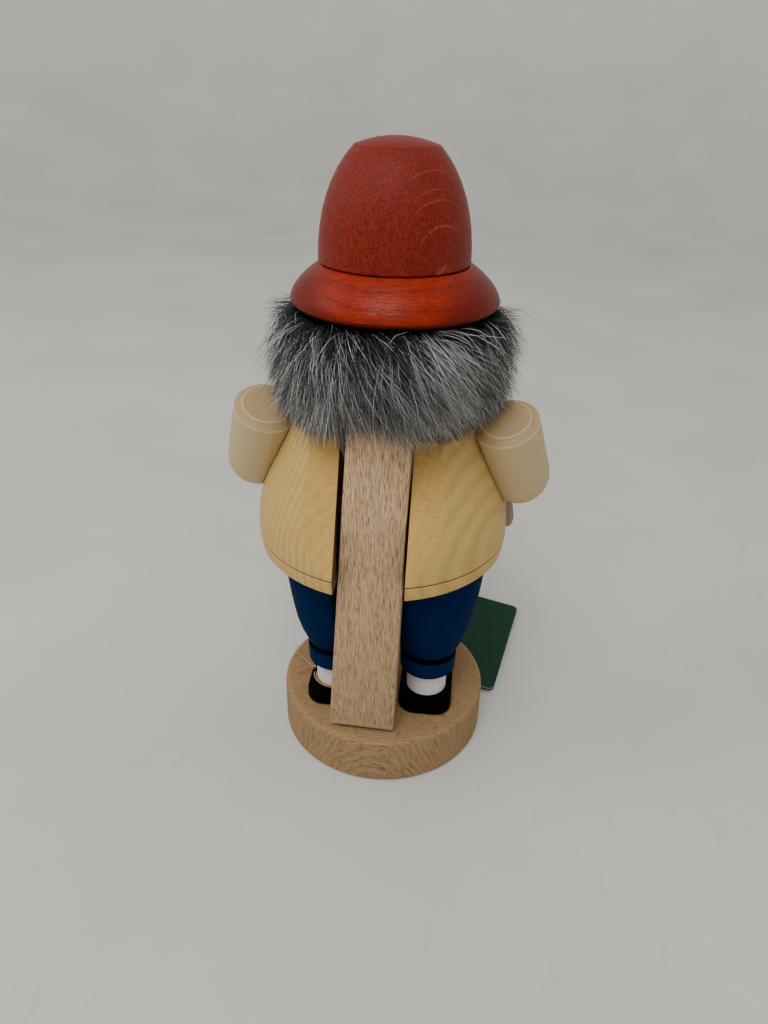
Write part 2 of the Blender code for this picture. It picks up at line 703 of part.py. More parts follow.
mouth_slot = block(
    "mouth_slot",
    (-MOUTH_HALF_WIDTH, -HEAD_RADIUS - THROUGH, HEAD_FLOOR - THROUGH),
    (MOUTH_HALF_WIDTH, HEAD_RADIUS + THROUGH, MOUTH_ROOF),
)
knee_relief = block(
    "knee_relief",
    (-MOUTH_HALF_WIDTH, PIN_Y - PIN_RADIUS, HEAD_FLOOR),
    (MOUTH_HALF_WIDTH, HEAD_RADIUS + THROUGH, RELIEF_TOP),
)
mouth_hollow = block(
    "mouth_hollow",
    (-MOUTH_HOLLOW_WIDTH / 2, hollow_back_y - MOUTH_HOLLOW_LENGTH, HEAD_FLOOR),
    (MOUTH_HOLLOW_WIDTH / 2, hollow_back_y, MOUTH_ROOF + MOUTH_HOLLOW_RISE),
)
hat_bore = rod(
    "hat_bore",
    (0.0, 0.0, HEAD_TOP - HAT_DOWEL_IN_HEAD - SEAT_GAP),
    (0.0, 0.0, CROWN_FLOOR + HAT_DOWEL_IN_CROWN + SEAT_GAP),
    HAT_DOWEL_RADIUS + SEAT_GAP,
)
for cutter in (mouth_slot, knee_relief, mouth_hollow, pin_bore, hat_bore):
    cut(head, cutter)
hat_dowel = rod(
    "hat_dowel",
    (0.0, 0.0, HEAD_TOP - HAT_DOWEL_IN_HEAD),
    (0.0, 0.0, CROWN_FLOOR + HAT_DOWEL_IN_CROWN),
    HAT_DOWEL_RADIUS,
    BEECH,
)

# Nose, turned with its peg and pushed into the face
nose_z = HEAD_FLOOR + NOSE_HEIGHT
peg_angle = math.degrees(math.asin(NOSE_PEG_RADIUS / NOSE_RADIUS))
nose_profile = arc(0.0, 0.0, NOSE_RADIUS, 90.0, -90.0 + peg_angle, 8)
nose_profile[0] = (0.0, NOSE_RADIUS)
nose_profile += [(NOSE_PEG_RADIUS, -NOSE_RADIUS - NOSE_PEG_LENGTH)]
nose_profile += [(0.0, -NOSE_RADIUS - NOSE_PEG_LENGTH)]
nose = turned("nose", nose_profile, ARM_WOOD, 16)
nose.location = (0.0, -HEAD_RADIUS - SEAT_GAP - NOSE_RADIUS, nose_z)
nose.rotation_euler = (math.pi / 2, 0.0, 0.0)
nose_bore = rod(
    "nose_bore",
    (0.0, -HEAD_RADIUS - THROUGH, nose_z),
    (0.0, -HEAD_RADIUS + NOSE_PEG_LENGTH + SEAT_GAP, nose_z),
    NOSE_PEG_RADIUS + SEAT_GAP,
    None,
    12,
)
cut(head, nose_bore)


# Beard on the jaw's front and hair round the head, plain solids of the pile's body
def beard_outline():
    """Front view of the beard: straight at the lip and round below."""
    half = BEARD_WIDTH / 2
    top = JAW_TOP - SEAT_GAP
    points = [(half, top), (-half, top)]
    points += [
        (x * half, BEARD_FLOOR + BEARD_ROUND_HEIGHT * (1.0 + z))
        for x, z in arc(0.0, 0.0, 1.0, 180.0, 360.0, 12)
    ]
    return points


beard = board("beard", beard_outline(), BEARD_THICKNESS, PILE)
beard.data.transform(Matrix.Rotation(math.pi / 2, 4, "X"))
beard.parent = pivot
beard.location = (0.0, -BEARD_BACK_Y - BEARD_THICKNESS / 2 - PIN_Y, -PIN_Z)
round_edges(beard, BEARD_EDGE_ROUNDING, 2)

hair_top = BRIM_FLOOR - SEAT_GAP
hair_floor = hair_top - HAIR_LENGTH
hair_inner = HEAD_RADIUS + SEAT_GAP
hair_waist = (HAIR_RADIUS, (hair_top + hair_floor) / 2)
hair_foot = (hair_inner + HAIR_RADIUS - HAIR_TOP_RADIUS, hair_floor)
hair_profile = bend((HAIR_TOP_RADIUS, hair_top), (HAIR_RADIUS, hair_top), hair_waist, 4)
hair_profile += bend(hair_waist, (HAIR_RADIUS, hair_floor), hair_foot, 4)[1:]
hair_profile += [(hair_inner, hair_floor), (hair_inner, hair_top)]
hair = turned("hair", hair_profile, PILE, 36)
face_opening = block(
    "face_opening",
    (-HAIR_FACE_WIDTH / 2, -HAIR_RADIUS - THROUGH, hair_floor - THROUGH),
    (HAIR_FACE_WIDTH / 2, -HAIR_FACE_Y, hair_top + THROUGH),
)
knee_opening = block(
    "knee_opening",
    (-MOUTH_HALF_WIDTH, HEAD_NECK_RADIUS / 2, hair_floor - THROUGH),
    (MOUTH_HALF_WIDTH, HAIR_RADIUS + THROUGH, RELIEF_TOP),
)
cut(hair, face_opening)
cut(hair, knee_opening)


# Hat: a thick brim rolled down at its edge and a tall crown on top of it
def brim_profile():
    """Brim from the crown's foot outwards, down and under."""
    top = BRIM_FLOOR + BRIM_HEIGHT
    widest = BRIM_FLOOR + BRIM_WIDEST_HEIGHT
    points = [(0.0, top)]
    shoulder = (BRIM_SHOULDER_RADIUS, BRIM_FLOOR + BRIM_SHOULDER_HEIGHT)
    points += bend((CROWN_FOOT_RADIUS, top), shoulder, (BRIM_RADIUS, widest), 6)
    points += bend((BRIM_RADIUS, widest), (BRIM_RADIUS, BRIM_FLOOR), (BRIM_UNDER_RADIUS, BRIM_FLOOR), 4)[1:]
    points += [(0.0, BRIM_FLOOR)]
    return points


def crown_profile():
    """Crown from the shallow dome over its rim and down the swelling side."""
    rim_z = CROWN_FLOOR + CROWN_EDGE_HEIGHT
    top = CROWN_FLOOR + CROWN_HEIGHT
    points = bend((0.0, top), (CROWN_EDGE_RADIUS / 2, top), (CROWN_EDGE_RADIUS, rim_z), 4)
    shoulder = (CROWN_FOOT_RADIUS, CROWN_FLOOR + CROWN_SHOULDER_HEIGHT)
    foot = (CROWN_FOOT_RADIUS, CROWN_FLOOR + CROWN_FOOT_CHAMFER)
    points += bend((CROWN_EDGE_RADIUS, rim_z), shoulder, foot, 8)[1:]
    points += [(CROWN_FOOT_RADIUS - CROWN_FOOT_CHAMFER, CROWN_FLOOR), (0.0, CROWN_FLOOR)]
    return points


brim = turned("hat_brim", brim_profile(), HAT_STAIN, 52)
cut(brim, hat_bore)
crown = turned("hat_crown", crown_profile(), HAT_STAIN, 48)
crown.location = (CROWN_X, 0.0, 0.0)
cut(crown, hat_bore)


# Arms: seated on the jacket with a dowel, forearms on the elbows, hands in front
def upper_arm_profile(grow):
    """Upper arm along its own axis, from its top face at 0 down to the elbow."""
    radius = ARM_RADIUS + grow
    points = [(0.0, grow), (ARM_FACE_RADIUS + grow, grow), (radius, -ARM_FACE_CHAMFER)]
    points += arc(0.0, -ARM_LENGTH, radius, 0.0, -90.0, 6)[:-1]
    points += [(0.0, -ARM_LENGTH - radius)]
    return points


def along(start, direction):
    """Placing matrix whose local Z follows a direction."""
    turn = Vector((0.0, 0.0, 1.0)).rotation_difference(direction).to_matrix().to_4x4()
    return Matrix.Translation(start) @ turn


jacket_reach = turned("jacket_reach", jacket_profile(SEAT_GAP), None, 60)
jacket_reach.location = (JACKET_X, 0.0, 0.0)
side_cos = math.cos(ARM_SIDE_LEAN)
for side_name, side in both_sides(""):
    shoulder = Vector((ARM_PAIR_X + side * ARM_TOP_X, ARM_TOP_Y, ARM_TOP_Z))
    down = Vector((
        side * math.sin(ARM_SIDE_LEAN),
        -math.sin(ARM_FORWARD_LEAN) * side_cos,
        -math.cos(ARM_FORWARD_LEAN) * side_cos,
    ))
    elbow = shoulder + down * ARM_LENGTH
    hand_centre = Vector((ARM_PAIR_X + side * HAND_X, -HAND_Y, HAND_Z))
    reach = hand_centre - elbow
    arm = turned("upper_arm" + side_name, upper_arm_profile(0.0), ARM_WOOD, 28)
    arm.matrix_world = along(shoulder, -down)
    cut(arm, jacket_reach)
    arm_reach = turned("arm_reach" + side_name, upper_arm_profile(SEAT_GAP), None, 28)
    arm_reach.matrix_world = along(shoulder, -down)

    middle = shoulder + down * (ARM_LENGTH / 2)
    chord = math.sqrt(jacket_radius(middle.z)[0] ** 2 - middle.y ** 2)
    inner_x = JACKET_X + side * (chord - ARM_DOWEL_IN_JACKET)
    outer_x = JACKET_X + side * (chord + SEAT_GAP + ARM_DOWEL_IN_ARM)
    inner_end = Vector((inner_x, middle.y, middle.z))
    outer_end = Vector((outer_x, middle.y, middle.z))
    step_out = Vector((side * SEAT_GAP, 0.0, 0.0))
    rod("arm_dowel" + side_name, inner_end, outer_end, ARM_DOWEL_RADIUS, BEECH, 12)
    arm_bore = rod(
        "arm_bore" + side_name,
        inner_end - step_out,
        outer_end + step_out,
        ARM_DOWEL_RADIUS + SEAT_GAP,
        None,
        12,
    )
    cut(arm, arm_bore)
    cut(jacket, arm_bore)

    length = reach.length - WRIST_SETBACK
    forearm_profile = [(0.0, length), (FOREARM_CUFF_RADIUS - FOREARM_EDGE_ROUNDING, length)]
    forearm_profile += [(FOREARM_CUFF_RADIUS, length - FOREARM_EDGE_ROUNDING)]
    forearm_profile += [(FOREARM_ELBOW_RADIUS, 0.0), (0.0, 0.0)]
    forearm = turned("forearm" + side_name, forearm_profile, ARM_WOOD, 24)
    forearm.matrix_world = along(elbow, reach)
    cut(forearm, arm_reach)
    cut(forearm, jacket_reach)

    wrist = WRIST_SETBACK - SEAT_GAP
    wrist_angle = math.degrees(math.asin(wrist / HAND_RADIUS))
    hand_profile = arc(0.0, 0.0, HAND_RADIUS, 90.0, -wrist_angle, 7)
    hand_profile[0] = (0.0, HAND_RADIUS)
    hand_profile += [(0.0, -wrist)]
    hand = turned("hand" + side_name, hand_profile, ARM_WOOD, 18)
    hand.matrix_world = along(hand_centre, reach)
    if side < 0.0:
        staff_hole = rod(
            "staff_hole",
            hand_centre - Vector((0.0, 0.0, HAND_RADIUS + THROUGH)),
            hand_centre + Vector((0.0, 0.0, HAND_RADIUS + THROUGH)),
            STAFF_RADIUS + SEAT_GAP,
        )
        cut(hand, staff_hole)

# Staff held in the right hand
staff_end = (STAFF_RADIUS, STAFF_LENGTH - STAFF_RADIUS)
staff_profile = bend((0.0, STAFF_LENGTH), (STAFF_RADIUS, STAFF_LENGTH), staff_end, 3)
staff_profile += bend(
    (STAFF_RADIUS, STAFF_FOOT_HEIGHT),
    (STAFF_RADIUS, STAFF_FOOT_HEIGHT / 2),
    (STAFF_FOOT_RADIUS, STAFF_RIM_HEIGHT),
    4,
)
staff_profile += [(STAFF_FOOT_RADIUS, STAFF_RIM_HEIGHT / 2)]
staff_profile += [(STAFF_FOOT_RADIUS - STAFF_FOOT_CHAMFER, 0.0), (0.0, 0.0)]
staff = turned("staff", staff_profile, BEECH, 16)
staff.location = (ARM_PAIR_X - HAND_X, -HAND_Y, STAFF_FOOT_Z)

# Buttons down the jacket's front, each square to the wood under it
for i in range(BUTTON_COUNT):
    height = JACKET_FLOOR + BUTTON_LOWEST_HEIGHT + i * BUTTON_SPACING
    radius, slope = jacket_radius(height)
    outward = Vector((0.0, -1.0, slope)).normalized()
    button_profile = bend((0.0, BUTTON_RISE), (BUTTON_RADIUS, BUTTON_RISE), (BUTTON_RADIUS, 0.0), 4)
    button_profile += [(0.0, 0.0)]
    button = turned("button_" + str(i + 1), button_profile, BUTTON_STAIN, 14)
    button.matrix_world = along(Vector((JACKET_X, -radius, height)) + outward * SEAT_GAP, outward)


# Swing tag: two leaves of card joined at the far fold, one corner clipped at the hole
def tag_side():
    """Side view of the folded card: a long thin V, x from the open end to the fold."""
    rise = TAG_GAPE + 2 * TAG_LEAF
    return [
        (0.0, 0.0),
        (TAG_LENGTH, 0.0),
        (TAG_LENGTH, 2 * TAG_LEAF),
        (0.0, rise),
        (0.0, rise - TAG_LEAF),
        (TAG_LENGTH - 2 * TAG_LEAF, TAG_LEAF),
        (0.0, TAG_LEAF),
    ]


def tag_outline():
    """Plan of the card: round corners, the corner next to the base clipped."""
    far = TAG_LENGTH - TAG_CORNER
    points = arc(TAG_CORNER, TAG_CORNER, TAG_CORNER, 180.0, 270.0, 3)
    points += arc(far, TAG_CORNER, TAG_CORNER, 270.0, 360.0, 3)
    points += arc(far, TAG_WIDTH - TAG_CORNER, TAG_CORNER, 0.0, 90.0, 3)
    points += [(TAG_CLIP_LENGTH, TAG_WIDTH), (0.0, TAG_WIDTH - TAG_CLIP_WIDTH)]
    return points


tag = board("swing_tag", tag_side(), TAG_WIDTH, CARD)
tag.data.transform(Matrix(((1, 0, 0, 0), (0, 0, -1, TAG_WIDTH / 2), (0, 1, 0, 0), (0, 0, 0, 1))))
tag_plan = board("tag_plan", tag_outline(), THROUGH)
clip = Vector((TAG_CLIP_LENGTH, TAG_CLIP_WIDTH))
clip_middle = Vector((0.0, TAG_WIDTH - TAG_CLIP_WIDTH)) + clip / 2
tag_hole_place = clip_middle + Vector((clip.y, -clip.x)).normalized() * TAG_HOLE_INSET
tag_hole = rod(
    "tag_hole",
    (tag_hole_place[0], tag_hole_place[1], -THROUGH),
    (tag_hole_place[0], tag_hole_place[1], THROUGH),
    TAG_HOLE_RADIUS,
    None,
    12,
)
tag_place = Matrix.Translation((TAG_X, TAG_Y, SEAT_GAP))
tag_place = tag_place @ Matrix.Rotation(-math.pi / 2 - TAG_HEADING, 4, "Z")
tag_place = tag_place @ Matrix.Rotation(TAG_TILT, 4, "X")
tag.matrix_world = tag_place
tag_plan.matrix_world = tag_place
tag_hole.matrix_world = tag_place @ tag_hole.matrix_basis
cut(tag, tag_plan, "INTERSECT")
cut(tag, tag_hole)


# Thread from the knot at the left ankle, round the sock and over the base to the tag
def smooth_route(knots, count):
    """Evenly stepped points of a smooth curve through the knots of a route."""
    padded = [2 * knots[0] - knots[1]] + knots + [2 * knots[-1] - knots[-2]]
    dense = []
    for i in range(1, len(padded) - 2):
        a, b, c, d = padded[i - 1:i + 3]
        for k in range(16):
            t = k / 16
            dense.append(
                0.5 * (2 * b + (c - a) * t + (2 * a - 5 * b + 4 * c - d) * t * t
                       + (3 * b - a - 3 * c + d) * t * t * t)
            )
    dense.append(knots[-1])
    lengths = [0.0]
    for first, second in zip(dense, dense[1:]):
        lengths.append(lengths[-1] + (second - first).length)
    points = []
    j = 0
    for i in range(count + 1):
        want = lengths[-1] * i / count
        while j < len(dense) - 2 and lengths[j + 1] < want:
            j += 1
        share = (want - lengths[j]) / (lengths[j + 1] - lengths[j])
        points.append(dense[j].lerp(dense[j + 1], share))
    return points


shoe_top = SHOE_FLOOR + SHOE_HEIGHT
ankle_x = LEG_SPACING / 2
thread_z = shoe_top + SEAT_GAP + THREAD_RADIUS
loop_radius = SOCK_RADIUS + SEAT_GAP + THREAD_RADIUS
knot_centre = Vector((
    ankle_x + (loop_radius + KNOT_RADIUS) * math.cos(KNOT_ANGLE),
    LEG_Y + (loop_radius + KNOT_RADIUS) * math.sin(KNOT_ANGLE),
    shoe_top + SEAT_GAP + KNOT_RADIUS,
))
knot = ball("thread_knot", knot_centre, KNOT_RADIUS, 6, GOLD_THREAD)

route = []
for degrees in (7.0, 30.0, 55.0, 80.0, 105.0, 130.0, 155.0, 180.0):
    angle = math.radians(degrees)
    route.append(Vector((
        ankle_x + loop_radius * math.cos(angle),
        LEG_Y + loop_radius * math.sin(angle),
        thread_z,
    )))
base_z = BASE_HEIGHT + SEAT_GAP + THREAD_RADIUS
hole_point = tag_place @ Vector((tag_hole_place[0], tag_hole_place[1], TAG_GAPE + 2 * TAG_LEAF))
for x, y, lift in THREAD_CROSSING:
    route.append(Vector((x * MM, y * MM, base_z + lift * MM)))
rim_heading = math.atan2(hole_point.y, hole_point.x)
rim_centre = BASE_RADIUS - BASE_TOP_ROUNDING
rim_bend = BASE_TOP_ROUNDING + SEAT_GAP * 1.5 + THREAD_RADIUS
for degrees in (95.0, 70.0, 45.0, 20.0, 0.0):
    angle = math.radians(degrees)
    out = rim_centre + rim_bend * math.cos(angle)
    route.append(Vector((
        out * math.cos(rim_heading),
        out * math.sin(rim_heading),
        BASE_HEIGHT - BASE_TOP_ROUNDING + rim_bend * math.sin(angle),
    )))
last_out = rim_centre + rim_bend + SEAT_GAP
route.append(Vector((
    last_out * math.cos(rim_heading),
    last_out * math.sin(rim_heading),
    BASE_HEIGHT / 2,
)))
route.append(hole_point + Vector((0.0, 0.0, THREAD_RADIUS + SEAT_GAP)))

thread_curve = bpy.data.curves.new("tag_thread", "CURVE")
thread_curve.dimensions = "3D"
thread_curve.bevel_depth = THREAD_RADIUS
thread_curve.bevel_resolution = 2
thread_curve.use_fill_caps = True
spline = thread_curve.splines.new("POLY")
thread_points = smooth_route(route, 60)
spline.points.add(len(thread_points) - 1)
for point, place in zip(spline.points, thread_points):
    point.co = (*place, 1.0)
thread = bpy.data.objects.new("tag_thread", thread_curve)
thread_curve.materials.append(GOLD_THREAD)
figure.objects.link(thread)
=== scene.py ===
import json
import math

import bmesh
import bpy
import numpy as np
from mathutils import Matrix
from mathutils import Vector

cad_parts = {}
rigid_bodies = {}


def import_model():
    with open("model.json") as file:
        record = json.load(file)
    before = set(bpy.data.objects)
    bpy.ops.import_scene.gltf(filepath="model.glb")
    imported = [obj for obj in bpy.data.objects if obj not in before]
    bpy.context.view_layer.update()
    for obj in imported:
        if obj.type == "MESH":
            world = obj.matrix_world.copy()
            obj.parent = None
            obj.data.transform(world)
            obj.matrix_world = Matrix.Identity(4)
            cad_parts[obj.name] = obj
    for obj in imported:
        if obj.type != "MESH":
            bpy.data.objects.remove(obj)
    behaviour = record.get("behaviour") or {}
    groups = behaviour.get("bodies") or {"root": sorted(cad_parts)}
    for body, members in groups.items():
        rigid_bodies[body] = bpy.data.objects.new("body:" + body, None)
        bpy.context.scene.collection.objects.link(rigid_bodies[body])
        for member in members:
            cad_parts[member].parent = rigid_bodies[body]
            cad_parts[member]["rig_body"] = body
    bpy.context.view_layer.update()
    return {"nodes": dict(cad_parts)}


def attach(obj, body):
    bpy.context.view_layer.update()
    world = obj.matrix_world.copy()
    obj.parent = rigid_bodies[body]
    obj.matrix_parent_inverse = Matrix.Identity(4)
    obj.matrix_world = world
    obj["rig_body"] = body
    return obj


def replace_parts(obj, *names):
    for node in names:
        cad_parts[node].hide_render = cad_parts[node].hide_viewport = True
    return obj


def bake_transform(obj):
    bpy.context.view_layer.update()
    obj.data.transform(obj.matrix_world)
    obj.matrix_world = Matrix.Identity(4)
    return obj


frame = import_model()


# Camera: a phone held a forearm's length behind and above the figure, looking down
# at it. Its lens is a little wider than the eye's.
def placed(name, data):
    """A new object, linked into the scene."""
    thing = bpy.data.objects.new(name, data)
    bpy.context.scene.collection.objects.link(thing)
    return thing


CAMERA_PLACE = (-0.0263, 0.2735, 0.2596)
CAMERA_HEADING = math.radians(185.89)
CAMERA_DIP = math.radians(29.24)
CAMERA_ROLL = math.radians(1.52)
lens = bpy.data.cameras.new("camera")
lens.sensor_width = 36.0
lens.lens = 27.04
lens.clip_start = 0.01
camera = placed("camera", lens)
camera.matrix_world = (
    Matrix.Translation(CAMERA_PLACE)
    @ Matrix.Rotation(CAMERA_HEADING, 4, "Z")
    @ Matrix.Rotation(math.pi / 2 - CAMERA_DIP, 4, "X")
    @ Matrix.Rotation(CAMERA_ROLL, 4, "Z")
)
bpy.context.scene.camera = camera


# Floor: a sheet of pale grey photographer's card, laid flat and curved up at its rim so
# that no edge shows. It has been used before: faint scuffs and a few dark specks.
def linear(code):
    """An sRGB hex colour as the linear colour that a shader takes."""
    parts = [int(code[i:i + 2], 16) / 255 for i in (1, 3, 5)]
    return (*[c / 12.92 if c <= 0.04045 else ((c + 0.055) / 1.055) ** 2.4 for c in parts], 1.0)


def new_finish(name, roughness, **values):
    """A named surface with its shader's own sockets set, and the shader."""
    finish = bpy.data.materials.new(name)
    finish.use_nodes = True
    shader = finish.node_tree.nodes["Principled BSDF"]
    shader.inputs["Roughness"].default_value = roughness
    for socket, value in values.items():
        shader.inputs[socket.replace("_", " ")].default_value = value
    return finish, shader


def add(finish, kind, inputs, stops=(), **settings):
    """Add a node to a finish: plain values are set, sockets and nodes' first outputs linked."""
    made = finish.node_tree.nodes.new("ShaderNode" + kind)
    for name, value in settings.items():
        setattr(made, name, value)
    for name, value in inputs.items():
        if isinstance(value, bpy.types.Node):
            value = value.outputs[0]
        if isinstance(value, bpy.types.NodeSocket):
            finish.node_tree.links.new(value, made.inputs[name])
        else:
            made.inputs[name].default_value = value
    for i, (place, colour) in enumerate(stops):
        band = made.color_ramp.elements
        spot = band[0] if i == 0 else band[-1] if i == len(stops) - 1 else band.new(place)
        spot.position = place
        spot.color = colour
    return made


MIX_FACTOR = 0
MIX_FIRST = 6
MIX_SECOND = 7
MIX_RESULT = 2


def tint(finish, shader, share, colour):
    """Lay a colour over a finish where a share says."""
    under = shader.inputs["Base Color"].links[0].from_socket
    over = add(finish, "Mix", {MIX_FACTOR: share, MIX_FIRST: under, MIX_SECOND: colour}, data_type="RGBA")
    finish.node_tree.links.new(over.outputs[MIX_RESULT], shader.inputs["Base Color"])


def mottled(finish, shader, scale, detail, stops):
    """Cloud a finish between the tones of its stops. Returns its place and its cloud."""
    spot = add(finish, "TexCoord", {})
    cloud = add(finish, "TexNoise", {"Vector": spot.outputs["Object"], "Scale": scale, "Detail": detail})
    tone = add(finish, "ValToRGB", {"Fac": cloud}, stops=stops)
    finish.node_tree.links.new(tone.outputs["Color"], shader.inputs["Base Color"])
    return spot, cloud


def built(name, shape, finish):
    """Turn a finished bmesh into a named piece of one finish."""
    mesh = bpy.data.meshes.new(name)
    shape.to_mesh(mesh)
    shape.free()
    mesh.materials.append(finish)
    return placed(name, mesh)


FLOOR_FLAT = 1.3
FLOOR_REACH = 2.6
FLOOR_RISE = 1.7
FLOOR_DROP = 0.0001
SCUFF_STRETCH = (30.0, 6.0, 6.0)
card, card_shader = new_finish("matt_card_floor", 0.9, Specular_IOR_Level=0.1)
card_tones = [(0.3, linear("#c3c3bf")), (0.7, linear("#cfcfcb"))]
card_spot, _ = mottled(card, card_shader, 7.0, 6.0, card_tones)
scuff_place = add(card, "Mapping", {"Vector": card_spot.outputs["Object"], "Scale": SCUFF_STRETCH})
scuffs = add(card, "TexNoise", {"Vector": scuff_place, "Detail": 6.0, "Roughness": 0.7})
scuffed = add(card, "MapRange", {"Value": scuffs, "From Min": 0.6, "From Max": 0.75})
tint(card, card_shader, scuffed, linear("#bfbeb9"))
specks = add(card, "TexVoronoi", {"Vector": card_spot.outputs["Object"], "Scale": 16.0})
speck_size = add(
    card,
    "MapRange",
    {"Value": specks.outputs["Color"], "From Min": 0.6, "From Max": 1.0, "To Max": 0.03},
)
at_speck = add(card, "Math", {0: specks.outputs["Distance"], 1: speck_size}, operation="LESS_THAN")
tint(card, card_shader, at_speck, linear("#5f5d56"))

# Painted light: the card is painted paler where it curves up, as if it took more light there
card_heights = add(card, "SeparateXYZ", {0: card_spot.outputs["Object"]})
card_rim_painted_light = add(
    card,
    "MapRange",
    {"Value": card_heights.outputs["Z"], "From Min": 0.02, "From Max": 0.6, "To Max": 0.8},
)
tint(card, card_shader, card_rim_painted_light, linear("#e6e6e5"))
sheet = bmesh.new()
profile = [sheet.verts.new((0.0, 0.0, -FLOOR_DROP)), sheet.verts.new((FLOOR_FLAT, 0.0, -FLOOR_DROP))]
CURVE_STEPS = 12
for i in range(1, CURVE_STEPS + 1):
    turn = math.radians(90.0 * i / CURVE_STEPS)
    out = FLOOR_FLAT + (FLOOR_REACH - FLOOR_FLAT) * math.sin(turn)
    profile.append(sheet.verts.new((out, 0.0, FLOOR_RISE * (1.0 - math.cos(turn)))))
sweep_edges = [sheet.edges.new(pair) for pair in zip(profile, profile[1:])]
bmesh.ops.spin(
    sheet,
    geom=profile + sweep_edges,
    axis=(0.0, 0.0, 1.0),
    angle=math.tau,
    steps=64,
    use_merge=True,
)
bmesh.ops.remove_doubles(sheet, verts=sheet.verts, dist=0.00001)
bmesh.ops.recalc_face_normals(sheet, faces=sheet.faces)
bmesh.ops.reverse_faces(sheet, faces=sheet.faces)
floor = built("floor", sheet, card)
floor.data.shade_smooth()


# Light: a big soft window behind the camera and a weaker one at the left, in a room
# with pale walls.
LAMP_AIM = Vector((0.0, 0.0, 0.13))


def soft_lamp(name, place, size, watts):
    """A square soft lamp that faces the figure's middle."""
    lamp = bpy.data.lights.new(name, "AREA")
    lamp.size = size
    lamp.energy = watts
    stand = placed(name, lamp)
    aim = (LAMP_AIM - Vector(place)).to_track_quat("-Z", "Y")
    stand.matrix_world = Matrix.Translation(place) @ aim.to_matrix().to_4x4()


soft_lamp("window", (0.2, 0.9, 1.6), 0.9, 17.5)
soft_lamp("side_window", (1.4, 0.1, 1.1), 1.0, 6.5)
room = bpy.data.worlds.new("room")
room.use_nodes = True
walls = room.node_tree.nodes["Background"]
walls.inputs["Color"].default_value = linear("#f3f1ea")
walls.inputs["Strength"].default_value = 0.72
bpy.context.scene.world = room


# Foot: a beech disc turned from a board, so its grain runs across it. The bare wood
# shows short dark flecks, and growth rings arch on the edge that faces the camera.
PER_METRE = (1000.0, 1000.0, 1000.0)


def grey(level):
    """A grey of one level, as a colour."""
    return (level, level, level, 1.0)


